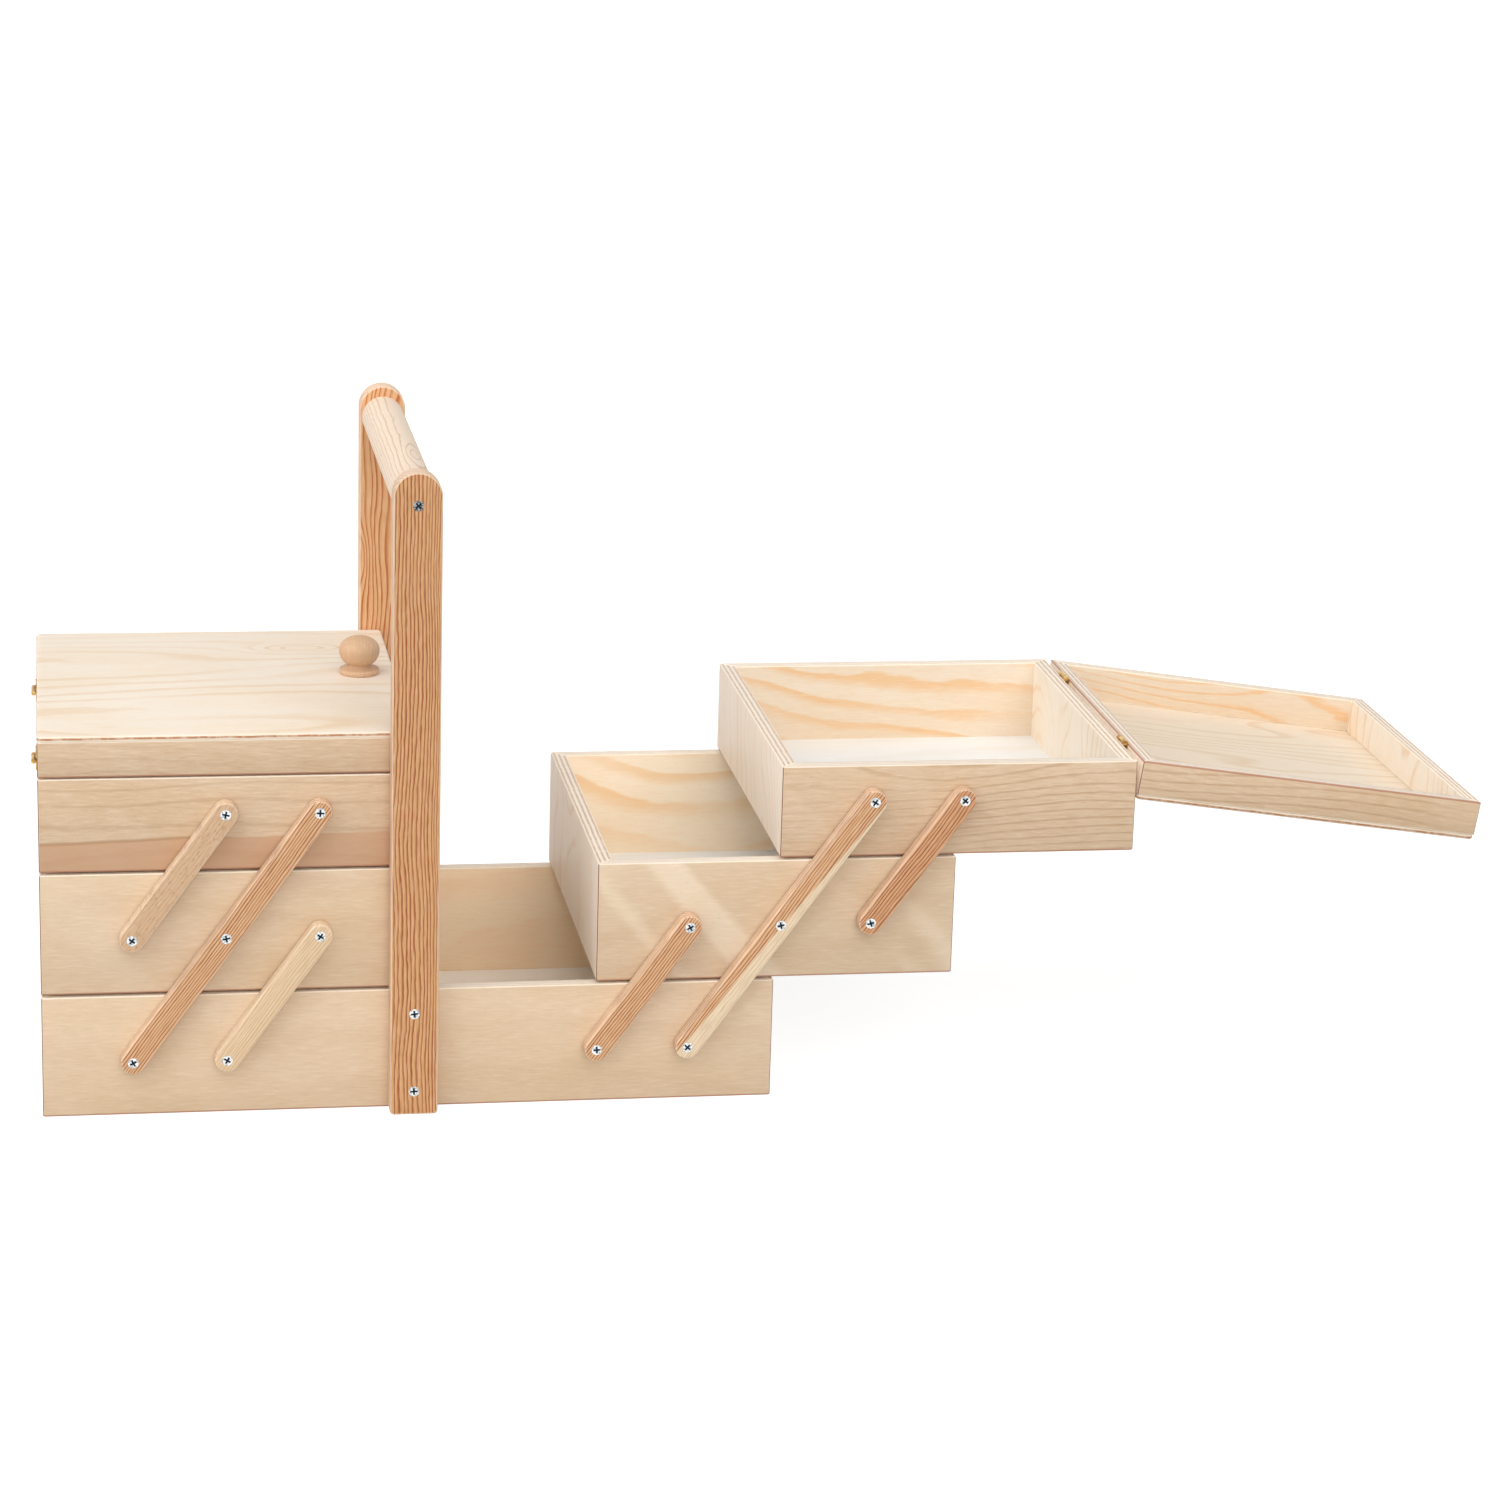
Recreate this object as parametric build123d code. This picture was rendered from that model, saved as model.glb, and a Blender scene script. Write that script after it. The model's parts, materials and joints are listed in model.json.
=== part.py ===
from build123d import *
import math
import os

# Three-tier fold-out wooden sewing box. Sizes are in millimetres.
# Origin: centre of the base's underside. X runs along the box, Y to the back, Z up.
# Rest pose: the left side is closed, the right side is folded out with its lid laid back.

# Base and trays
box_length = 420.0
box_depth = 235.0
wall_thickness = 9.0
base_height = 71.5
middle_height = 71.0
top_height = 54.5
tier_gap = 1.5
centre_gap = 1.0
tray_side_clearance = 0.5
base_floor_thickness = 4.0
tray_floor_thickness = 4.0
tray_floor_lift = 2.5
groove_depth = 3.0

# Lids
lid_gap = 0.8
lid_rail_height = 20.8
lid_panel_thickness = 3.0
lid_corner_radius = 3.0
lid_edge_radius = 2.0
lid_open_angle = 188.0

# Swing arms and their pivots
outer_pivot_inset = 51.0
pivot_spacing = 53.0
upper_arm_inset = 51.0
pivot_height = 34.4
arm_lean = 52.8
arm_width = 14.0
arm_thickness = 9.0
arm_gap = 0.5
pivot_clearance = 0.08

# Wood screws: countersunk head, cross recess
screw_head_radius = 3.0
screw_shank_radius = 1.6
screw_head_land = 0.25
screw_tip_length = 2.5
screw_bite = 7.0
screw_fit = 0.05
recess_reach_share = 0.62
recess_width = 0.8
recess_depth = 1.1

# Posts and carrying handle
post_width = 27.5
post_thickness = 14.0
post_height = 376.3
post_foot_radius = 2.5
post_screw_heights = (14.0, 61.0)
handle_radius = 12.6
handle_drop = 18.6
handle_screw_bite = 22.0

# Turned lid knob. It stands a little behind the middle of the lid.
knob_inset = 21.0
knob_set_back = 13.0
knob_radius = 12.0
knob_side_radius = 7.0
knob_height = 22.7
knob_centre_height = 14.4
knob_neck_radius = 6.7
knob_neck_height = 6.0
knob_foot_radius = 12.0
knob_foot_easing = 1.0
knob_foot_thickness = 3.2
knob_cove_depth = 0.6
knob_spigot_radius = 4.0
knob_spigot_length = 2.0
glue_gap = 0.05

# Lid hinges, two on each lid
hinge_length = 15.0
hinge_inset = 36.0
hinge_axis_offset = 1.95
hinge_leaf_reach = 5.2
hinge_leaf_thickness = 0.8
hinge_barrel_radius = 1.4
hinge_pin_radius = 0.7
hinge_clearance = 0.06
hinge_side_clearance = 0.15
hinge_barrel_clearance = 0.3
hinge_barrel_count = 3
hinge_screw_head_radius = 1.05
hinge_screw_shank_radius = 0.5
hinge_screw_land = 0.1
hinge_screw_length = 6.0
hinge_screw_inset = 3.2
hinge_slot_width = 0.3
hinge_slot_depth = 0.35

# How far a cutter runs past the face it cuts through
cut_margin = 1.0

LEFT, RIGHT = -1, 1
FRONT, BACK = -1, 1
SIDE_NAMES = {LEFT: "left", RIGHT: "right"}
FACE_NAMES = {FRONT: "front", BACK: "back"}

# Worked out from the sizes above
tray_length = (box_length - centre_gap) / 2
tray_depth = box_depth - 2 * tray_side_clearance
middle_bottom = base_height + tier_gap
top_bottom = middle_bottom + middle_height + tier_gap
lid_bottom = top_bottom + top_height + lid_gap
lid_top = lid_bottom + lid_rail_height + lid_panel_thickness
arm_rise = base_height + tier_gap
arm_face = box_depth / 2 + arm_gap
post_face = box_depth / 2 + post_thickness
handle_height = post_height - handle_drop
tier_travel = 2 * arm_lean
hinge_axis_height = lid_bottom - lid_gap / 2
middle_travel = {LEFT: 0.0, RIGHT: tier_travel}
top_travel = {LEFT: 0.0, RIGHT: 2 * tier_travel}
lid_angle = {LEFT: 0.0, RIGHT: lid_open_angle}
pivot_screw_length = arm_thickness + arm_gap + tray_side_clearance + screw_bite
post_screw_length = post_thickness + screw_bite
handle_screw_length = post_thickness + handle_screw_bite

nodes = {}


def block(x_span, y_span, z_span):
    """A box between two values along each axis."""
    spans = [sorted(span) for span in (x_span, y_span, z_span)]
    size = [high - low for low, high in spans]
    centre = [(high + low) / 2 for low, high in spans]
    return Pos(*centre) * Box(*size)


def board(plan, z_span):
    """A board seen from above as the polygon plan, between two heights."""
    outline = make_face(Polyline(*plan, close=True))
    return Pos(0, 0, min(z_span)) * extrude(outline, max(z_span) - min(z_span))


def group(solids):
    """Separate solids that share one node."""
    return Compound(children=list(solids))


def turned(points):
    """A turned solid about Z from (radius, height) points."""
    outline = make_face(Polyline(*points, close=True))
    return revolve(Plane.XZ * outline, axis=Axis.Z)


def seat(x, y, z, normal):
    """A plane on a surface, with its normal pointing out of the wood."""
    across = (0, 1, 0) if abs(normal[0]) > 0 else (1, 0, 0)
    return Plane(origin=(x, y, z), x_dir=across, z_dir=normal)


def screw(length, head, shank, land, tip):
    """A countersunk screw. Its head is flush with z = 0 and it points down."""
    cone_end = -land - (head - shank)
    return turned([
        (0, 0), (head, 0), (head, -land), (shank, cone_end),
        (shank, tip - length), (0, -length),
    ])


def screw_hole(length, head, shank, land, clearance):
    """The drilled and countersunk hole for such a screw."""
    cone_end = -land - (head - shank)
    return turned([
        (0, cut_margin), (head + clearance, cut_margin), (head + clearance, -land),
        (shank + clearance, cone_end), (shank + clearance, -length), (0, -length),
    ])


def cross_screw(length):
    """A wood screw with a cross recess."""
    body = screw(length, screw_head_radius, screw_shank_radius, screw_head_land, screw_tip_length)
    reach = 2 * recess_reach_share * screw_head_radius
    slot = Box(reach, recess_width, 2 * recess_depth)
    return body - slot - Rot(0, 0, 90) * slot


def wood_screw_hole(depth, clearance):
    """A countersunk hole through a post or an arm."""
    return screw_hole(depth, screw_head_radius, screw_shank_radius, screw_head_land, clearance)


def pilot_hole(depth, shank):
    """A blind hole that a screw's thread holds in."""
    return Pos(0, 0, -depth / 2) * Cylinder(shank + screw_fit, depth)


def outer_end(side, travel):
    """X of a tray's outer end, moved outwards by travel."""
    return side * (box_length / 2 + travel)


def pivot_x(side, inset, travel=0.0):
    """X of a pivot at a distance in from a tray's outer end."""
    return side * (box_length / 2 + travel - inset)


# The arms lean inwards when a side is closed, so a tray's pivots sit one lean further in.
long_insets = [outer_pivot_inset + tier * arm_lean for tier in range(3)]
lower_insets = [outer_pivot_inset + pivot_spacing + tier * arm_lean for tier in range(2)]
upper_insets = [upper_arm_inset + tier * arm_lean for tier in range(2)]
pivot_levels = [pivot_height + tier * arm_rise for tier in range(3)]


def base_pivots(side):
    return [(pivot_x(side, inset), pivot_levels[0]) for inset in (long_insets[0], lower_insets[0])]


def middle_pivots(side):
    insets = (long_insets[1], lower_insets[1], upper_insets[0])
    return [(pivot_x(side, inset, middle_travel[side]), pivot_levels[1]) for inset in insets]


def top_pivots(side):
    insets = (long_insets[2], upper_insets[1])
    return [(pivot_x(side, inset, top_travel[side]), pivot_levels[2]) for inset in insets]


def tray_wall(x_span, depth, z_span, face, holes, groove):
    """A front or back wall with mitred ends, its floor groove and its screw holes."""
    bite = pivot_screw_length - arm_thickness - arm_face + depth / 2
    low, high = sorted(x_span)
    outer = face * depth / 2
    inner = outer - face * wall_thickness
    mitred = [(low, outer), (high, outer), (high - wall_thickness, inner), (low + wall_thickness, inner)]
    wall = board(mitred, z_span)
    if groove:
        wall -= block(x_span, (inner, inner + face * groove_depth), groove)
    for x, z in holes:
        wall -= seat(x, outer, z, (0, face, 0)) * pilot_hole(bite, screw_shank_radius)
    return wall


def tray_ends(x_span, depth, z_span, groove):
    """The two end walls, mitred to the front and back walls."""
    outer_y = depth / 2
    inner_y = outer_y - wall_thickness
    ends = []
    for x, inward in ((min(x_span), 1), (max(x_span), -1)):
        inner_x = x + inward * wall_thickness
        end = board([(x, -outer_y), (inner_x, -inner_y), (inner_x, inner_y), (x, outer_y)], z_span)
        if groove:
            end -= block((inner_x, inner_x - inward * groove_depth), (-outer_y, outer_y), groove)
        ends.append(end)
    return ends


def tray_floor(x_span, depth, z_span, tongue):
    """The floor panel, let into the walls by tongue."""
    inset = wall_thickness - tongue
    reach_y = depth / 2 - inset
    return block((min(x_span) + inset, max(x_span) - inset), (-reach_y, reach_y), z_span)


def add_tray(name, x_span, bottom, height, holes):
    """One tray: front and back walls, two end walls and a floor in grooves."""
    z_span = (bottom, bottom + height)
    floor_bottom = bottom + tray_floor_lift
    floor_span = (floor_bottom, floor_bottom + tray_floor_thickness)
    for face in (FRONT, BACK):
        wall = tray_wall(x_span, tray_depth, z_span, face, holes, floor_span)
        nodes[f"{name}_{FACE_NAMES[face]}_wall"] = wall
    nodes[f"{name}_end_walls"] = group(tray_ends(x_span, tray_depth, z_span, floor_span))
    nodes[f"{name}_floor"] = tray_floor(x_span, tray_depth, floor_span, groove_depth)


def add_base():
    """The fixed bottom box. Its floor is flush with the walls' lower edges."""
    x_span = (-box_length / 2, box_length / 2)
    z_span = (0, base_height)
    post_holes = [(0, z) for z in post_screw_heights]
    holes = base_pivots(LEFT) + base_pivots(RIGHT) + post_holes
    for face in (FRONT, BACK):
        nodes[f"base_{FACE_NAMES[face]}_wall"] = tray_wall(x_span, box_depth, z_span, face, holes, None)
    nodes["base_end_walls"] = group(tray_ends(x_span, box_depth, z_span, None))
    nodes["base_floor"] = tray_floor(x_span, box_depth, (0, base_floor_thickness), 0)


def post_outline():
    """Front view of a post: round top, softened foot corners."""
    radius = post_width / 2
    shaft_top = post_height - radius
    shaft = Pos(0, shaft_top / 2) * Rectangle(post_width, shaft_top)
    feet = shaft.vertices().sort_by(Axis.Y)[:2]
    return fillet(feet, post_foot_radius) + Pos(0, shaft_top) * Circle(radius)


def add_posts():
    """Two flat posts screwed to the base's long walls, and the round handle between them."""
    screws = []
    for face in (FRONT, BACK):
        wall = Plane(origin=(0, face * box_depth / 2, 0), x_dir=(-face, 0, 0), z_dir=(0, face, 0))
        post = wall * extrude(post_outline(), post_thickness)
        for z in post_screw_heights + (handle_height,):
            at_screw = seat(0, face * post_face, z, (0, face, 0))
            post -= at_screw * wood_screw_hole(post_thickness + cut_margin, screw_fit)
            length = handle_screw_length if z == handle_height else post_screw_length
            screws.append(at_screw * cross_screw(length))
        nodes[f"{FACE_NAMES[face]}_post"] = post
    nodes["post_screws"] = group(screws)

    handle = Pos(0, 0, handle_height) * Rot(90, 0, 0) * Cylinder(handle_radius, box_depth)
    for face in (FRONT, BACK):
        at_end = seat(0, face * box_depth / 2, handle_height, (0, face, 0))
        handle -= at_end * pilot_hole(handle_screw_bite, screw_shank_radius)
    nodes["handle_bar"] = handle


def arm(start, holes, end, face):
    """A flat bar with round ends from start to end, with a countersunk hole at each pivot."""
    run_x, run_z = end[0] - start[0], end[1] - start[1]
    length = math.hypot(run_x, run_z)
    inner = Plane(
        origin=(start[0], face * arm_face, start[1]),
        x_dir=(run_x, 0, run_z),
        z_dir=(0, face, 0),
    )
    bar = Pos(length / 2, 0) * SlotCenterToCenter(length, arm_width)
    bar = inner * extrude(bar, arm_thickness)
    for x, z in holes:
        at_pivot = seat(x, face * (arm_face + arm_thickness), z, (0, face, 0))
        bar -= at_pivot * wood_screw_hole(arm_thickness + cut_margin, pivot_clearance)
    return bar


def add_arms(side):
    """Long, lower and upper arms on the front and the back of one side."""
    base, middle, top = base_pivots(side), middle_pivots(side), top_pivots(side)
    for face in (FRONT, BACK):
        name = f"{SIDE_NAMES[side]}_{{}}_arm_{FACE_NAMES[face]}"
        nodes[name.format("long")] = arm(base[0], [base[0], middle[0], top[0]], top[0], face)
        nodes[name.format("lower")] = arm(base[1], [base[1], middle[1]], middle[1], face)
        nodes[name.format("upper")] = arm(middle[2], [middle[2], top[1]], top[1], face)


def pivot_screws(pivots):
    """One screw through an arm at each pivot, front and back."""
    outer = arm_face + arm_thickness
    length = pivot_screw_length
    places = [(x, z, face) for x, z in pivots for face in (FRONT, BACK)]
    return [seat(x, face * outer, z, (0, face, 0)) * cross_screw(length) for x, z, face in places]


def hinge_starts():
    """Y of each hinge's lower end: one near the front, one near the back."""
    first = hinge_inset - tray_depth / 2
    return [first, -first - hinge_length]


def hinge_leaf(barrels, up):
    """One hinge leaf about its pin. The wall is at -hinge_axis_offset; up is 1 on the lid."""
    wall = -hinge_axis_offset
    plate_x = (wall, wall + hinge_leaf_thickness)
    plate_start = hinge_barrel_radius + hinge_barrel_clearance
    leaf = block(plate_x, (0, hinge_length), (up * plate_start, up * hinge_leaf_reach))
    barrel_length = hinge_length / hinge_barrel_count
    for index in barrels:
        low = index * barrel_length + (hinge_side_clearance if index else 0)
        high = (index + 1) * barrel_length
        if index < hinge_barrel_count - 1:
            high -= hinge_side_clearance
        leaf += block(plate_x, (low, high), (0, up * plate_start))
        barrel = Rot(-90, 0, 0) * Cylinder(hinge_barrel_radius, high - low)
        leaf += Pos(0, (low + high) / 2, 0) * barrel
    bore = Rot(-90, 0, 0) * Cylinder(hinge_pin_radius + hinge_clearance, 2 * hinge_length)
    leaf -= Pos(0, hinge_length / 2, 0) * bore
    for seat_plane in leaf_screw_seats(up):
        leaf -= seat_plane * small_screw_hole(hinge_leaf_thickness + cut_margin)
    return leaf


def leaf_screw_seats(up):
    """Where a leaf's two screws sit, on the leaf's outer face."""
    face_x = hinge_leaf_thickness - hinge_axis_offset
    z = up * (hinge_barrel_radius + hinge_leaf_reach) / 2
    return [seat(face_x, y, z, (1, 0, 0)) for y in (hinge_screw_inset, hinge_length - hinge_screw_inset)]


def small_screw_hole(depth):
    """The countersunk hole in a hinge leaf."""
    head, shank = hinge_screw_head_radius, hinge_screw_shank_radius
    return screw_hole(depth, head, shank, hinge_screw_land, screw_fit)


def small_screw():
    """A slotted brass hinge screw."""
    body = screw(
        hinge_screw_length, hinge_screw_head_radius, hinge_screw_shank_radius,
        hinge_screw_land, hinge_screw_head_radius,
    )
    slot = Box(2 * hinge_screw_head_radius + cut_margin, hinge_slot_width, 2 * hinge_slot_depth)
    return body - slot


def at_hinge(side, y, solid):
    """Put a solid made about the pin of a right-hand hinge onto one side's hinge, closed."""
    x = outer_end(RIGHT, top_travel[side]) + hinge_axis_offset
    placed = Pos(x, y, hinge_axis_height) * solid
    return placed if side == RIGHT else mirror(placed, about=Plane.YZ)


def swing_lid(side, solid):
    """Turn a lid piece from closed to where it rests."""
    x = outer_end(side, top_travel[side]) + side * hinge_axis_offset
    pin = Axis((x, 0, hinge_axis_height), (0, 1, 0))
    return solid.rotate(pin, side * lid_angle[side])


def add_hinges(side):
    """Two small hinges with their leaves on the outer faces of the tray and the lid."""
    tray_leaves, lid_leaves, pins, tray_screws, lid_screws = [], [], [], [], []
    tray_barrels = range(0, hinge_barrel_count, 2)
    lid_barrels = range(1, hinge_barrel_count, 2)
    pin = Pos(0, hinge_length / 2, 0) * Rot(-90, 0, 0) * Cylinder(hinge_pin_radius, hinge_length)
    for y in hinge_starts():
        tray_leaves.append(at_hinge(side, y, hinge_leaf(tray_barrels, -1)))
        lid_leaves.append(swing_lid(side, at_hinge(side, y, hinge_leaf(lid_barrels, 1))))
        pins.append(at_hinge(side, y, pin))
        for seat_plane in leaf_screw_seats(-1):
            tray_screws.append(at_hinge(side, y, seat_plane * small_screw()))
        for seat_plane in leaf_screw_seats(1):
            lid_screws.append(swing_lid(side, at_hinge(side, y, seat_plane * small_screw())))
    name = SIDE_NAMES[side] + "_hinge"
    nodes[f"{name}_tray_leaves"] = group(tray_leaves)
    nodes[f"{name}_lid_leaves"] = group(lid_leaves)
    nodes[f"{name}_pins"] = group(pins)
    nodes[f"{name}_tray_screws"] = group(tray_screws)
    nodes[f"{name}_lid_screws"] = group(lid_screws)


def hinge_screw_cutters(side, up):
    """Holes in the wood for the hinge screws, from the wall's outer face inwards."""
    depth = hinge_screw_length
    hole = pilot_hole(depth, hinge_screw_shank_radius)
    return [at_hinge(side, y, plane * hole) for y in hinge_starts() for plane in leaf_screw_seats(up)]


def knob_outline():
    """Half section of the turned knob: spigot, moulded foot, neck and ball."""
    foot_top = (knob_foot_radius - knob_foot_easing, knob_foot_thickness)
    foot_bottom = (knob_foot_radius - knob_foot_easing, 0)
    rim = (knob_foot_radius, knob_foot_thickness / 2)
    neck = (knob_neck_radius, knob_neck_height)
    widest = (knob_radius, knob_centre_height)
    top = (0, knob_height)

    # The ball's upper half is two arcs that meet smoothly: its side and its flatter crown.
    rise = knob_height - knob_centre_height
    inward = knob_radius - knob_side_radius
    crown_radius = (inward**2 + rise**2 - knob_side_radius**2) / (2 * (rise - knob_side_radius))
    reach = crown_radius / (crown_radius - knob_side_radius)
    crown_centre = knob_height - crown_radius
    meet = (reach * inward, crown_centre + reach * (knob_centre_height - crown_centre))
    return [
        Polyline(
            top, (0, -knob_spigot_length), (knob_spigot_radius, -knob_spigot_length),
            (knob_spigot_radius, 0), foot_bottom,
        ),
        ThreePointArc(foot_bottom, rim, foot_top),
        SagittaArc(foot_top, neck, knob_cove_depth),
        TangentArc(widest, neck, tangent=(0, -1)),
        TangentArc(widest, meet, tangent=(0, 1)),
        TangentArc(top, meet, tangent=(1, 0)),
    ]


def add_lid(side):
    """A shallow lid: four rails, a thin panel with eased edges, and a glued knob."""
    outer = outer_end(side, top_travel[side])
    x_span = (outer - side * tray_length, outer)
    rail_span = (lid_bottom, lid_bottom + lid_rail_height)
    side_rails = [tray_wall(x_span, tray_depth, rail_span, face, [], None) for face in (FRONT, BACK)]
    end_rails = tray_ends(x_span, tray_depth, rail_span, None)
    for cutter in hinge_screw_cutters(side, 1):
        end_rails = [rail - cutter for rail in end_rails]

    panel = block(x_span, (-tray_depth / 2, tray_depth / 2), (rail_span[1], lid_top))
    panel = fillet(panel.edges().filter_by(Axis.Z), lid_corner_radius)
    panel = fillet(panel.faces().sort_by(Axis.Z)[-1].edges(), lid_edge_radius)
    knob_x = outer - side * (tray_length - knob_inset)
    on_panel = Pos(knob_x, knob_set_back, lid_top)
    spigot_hole = pilot_hole(knob_spigot_length, knob_spigot_radius + glue_gap - screw_fit)
    panel -= on_panel * spigot_hole
    knob = on_panel * revolve(Plane.XZ * make_face(knob_outline()), axis=Axis.Z)

    name = SIDE_NAMES[side] + "_lid"
    nodes[f"{name}_side_rails"] = group(swing_lid(side, rail) for rail in side_rails)
    nodes[f"{name}_end_rails"] = group(swing_lid(side, rail) for rail in end_rails)
    nodes[f"{name}_panel"] = swing_lid(side, panel)
    nodes[f"{name}_knob"] = swing_lid(side, knob)


def add_side(side):
    """Middle tray, top tray, lid, hinges and arms of one side."""
    name = SIDE_NAMES[side]
    for level, travel, bottom, height, pivots in (
        ("middle", middle_travel[side], middle_bottom, middle_height, middle_pivots(side)),
        ("top", top_travel[side], top_bottom, top_height, top_pivots(side)),
    ):
        outer = outer_end(side, travel)
        x_span = (outer - side * tray_length, outer)
        add_tray(f"{name}_{level}_tray", x_span, bottom, height, pivots)
        nodes[f"{name}_{level}_pivot_screws"] = group(pivot_screws(pivots))
    ends = nodes[f"{name}_top_tray_end_walls"].solids()
    for cutter in hinge_screw_cutters(side, -1):
        ends = [end - cutter for end in ends]
    nodes[f"{name}_top_tray_end_walls"] = group(ends)
    add_lid(side)
    add_hinges(side)
    add_arms(side)


add_base()
add_posts()
nodes["base_pivot_screws"] = group(pivot_screws(base_pivots(LEFT) + base_pivots(RIGHT)))
for box_side in (LEFT, RIGHT):
    add_side(box_side)

os.makedirs("parts", exist_ok=True)
for node_name, shape in nodes.items():
    export_step(shape, f"parts/{node_name}.step")
print(len(nodes), "nodes written")
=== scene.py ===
import json
import math
import random

import bmesh
import bpy
from mathutils import Matrix, Vector


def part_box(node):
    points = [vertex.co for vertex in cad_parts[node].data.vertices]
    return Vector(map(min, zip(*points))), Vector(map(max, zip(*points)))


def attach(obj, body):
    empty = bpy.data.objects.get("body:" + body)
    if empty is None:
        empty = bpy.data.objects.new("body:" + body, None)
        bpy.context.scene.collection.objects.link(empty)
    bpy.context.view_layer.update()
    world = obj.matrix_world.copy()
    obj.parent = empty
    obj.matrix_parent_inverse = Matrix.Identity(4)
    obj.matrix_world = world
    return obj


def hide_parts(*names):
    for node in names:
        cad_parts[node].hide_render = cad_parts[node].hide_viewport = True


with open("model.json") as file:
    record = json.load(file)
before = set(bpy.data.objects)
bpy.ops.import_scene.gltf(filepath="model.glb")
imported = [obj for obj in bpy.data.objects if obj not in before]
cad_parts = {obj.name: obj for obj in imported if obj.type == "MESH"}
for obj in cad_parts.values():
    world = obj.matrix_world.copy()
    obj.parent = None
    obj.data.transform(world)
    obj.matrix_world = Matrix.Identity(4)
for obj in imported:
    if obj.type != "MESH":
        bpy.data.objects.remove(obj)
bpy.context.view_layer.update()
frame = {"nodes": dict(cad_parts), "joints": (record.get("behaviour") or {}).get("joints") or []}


# The base is a long open tray of thin-faced plywood. Its four boards are mitred and glued at the
# corners with their edges sanded round, and its floor lies between them, flush with their lower edges.
SANDED_EDGE = 0.0007
SMOOTH_BELOW = 25
CROSSED_PLIES = 3
PANEL_CROSSED_PLIES = 1


def shade(red, green, blue):
    """A colour named by eye, 0 to 255 in each part, as the linear colour that materials take."""
    parts = [part / 255 for part in (red, green, blue)]
    return [p / 12.92 if p < 0.04045 else ((p + 0.055) / 1.055) ** 2.4 for p in parts] + [1.0]


def feed(tree, socket, value):
    """Join a socket to another one, or set its value."""
    if isinstance(value, bpy.types.NodeSocket):
        tree.links.new(value, socket)
    else:
        socket.default_value = value


def sums(tree, operation, *values):
    """One step of arithmetic on sockets or numbers."""
    node = tree.nodes.new("ShaderNodeMath")
    node.operation = operation
    for socket, value in zip(node.inputs, values):
        feed(tree, socket, value)
    return node.outputs[0]


def times(tree, first, second, plus=0.0):
    """The first times the second, plus the third."""
    return sums(tree, "MULTIPLY_ADD", first, second, plus)


def less(tree, first, second):
    """The first less the second."""
    return sums(tree, "SUBTRACT", first, second)


def figure(tree, along, across, waves, seed, detail=2.0):
    """Smooth random values from 0 to 1, with so many waves in a metre along and across the grain."""
    point = tree.nodes.new("ShaderNodeCombineXYZ")
    feed(tree, point.inputs[0], times(tree, along, waves[0]))
    feed(tree, point.inputs[1], times(tree, across, waves[1]))
    feed(tree, point.inputs[2], seed)
    node = tree.nodes.new("ShaderNodeTexNoise")
    node.inputs["Scale"].default_value = 1.0
    node.inputs["Detail"].default_value = detail
    feed(tree, node.inputs["Vector"], point.outputs[0])
    return node.outputs[0]


def ease(tree, value, low, high):
    """0 below low, 1 above high, and a smooth rise between them."""
    node = tree.nodes.new("ShaderNodeMapRange")
    node.interpolation_type = "SMOOTHSTEP"
    for index, number in enumerate((value, low, high)):
        feed(tree, node.inputs[index], number)
    return node.outputs[0]


def stain(tree, amount, first, second, strength=None):
    """The first colour, with the second laid over it by amount, or by that much of it."""
    if strength is not None:
        amount = times(tree, amount, strength)
    node = tree.nodes.new("ShaderNodeMix")
    node.data_type = "RGBA"
    feed(tree, node.inputs[0], amount)
    feed(tree, node.inputs[6], first)
    feed(tree, node.inputs[7], second)
    return node.outputs[2]


def new_material(name):
    """An empty material and its tree."""
    material = bpy.data.materials.new(name)
    material.use_nodes = True
    return material, material.node_tree


def kept_value(tree, name, output="Fac"):
    """What the mesh keeps under that name, on its points or faces."""
    node = tree.nodes.new("ShaderNodeAttribute")
    node.attribute_name = name
    return node.outputs[output]


def wood_coordinates(tree):
    """Metres along the grain, in from the outer face, and across the grain, in the board's own frame."""
    split = tree.nodes.new("ShaderNodeSeparateXYZ")
    feed(tree, split.inputs[0], kept_value(tree, "grain", "Vector"))
    return split.outputs


RING_DARKEST = 0.86
RING_END = 0.9
PORES = (260, 1500)


def late_wood(tree, turn, start):
    """The dark part of each ring: it deepens slowly and ends at once."""
    return less(tree, ease(tree, turn, start, RING_DARKEST), ease(tree, turn, RING_END, 1.0))


def flecks(tree, along, across, seed):
    """Short dark dashes along the grain, where pores are cut open."""
    return ease(tree, figure(tree, along, across, PORES, seed, 1.0), 0.6, 0.72)


def near_knot(tree, along, across, knot):
    """1 at a knot, given by its place, its length and width, and how far it bends the rings."""
    place_along, place_across, length, width, _ = knot
    before = sums(tree, "DIVIDE", less(tree, along, place_along), length)
    beside = sums(tree, "DIVIDE", less(tree, across, place_across), width)
    away = times(tree, beside, beside, times(tree, before, before))
    return sums(tree, "EXPONENT", times(tree, away, -1.0))


def bend_round_knots(tree, value, along, across, knots):
    """Rings or distances that are pushed aside by each knot."""
    for knot in knots:
        value = times(tree, near_knot(tree, along, across, knot), knot[-1], value)
    return value


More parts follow.
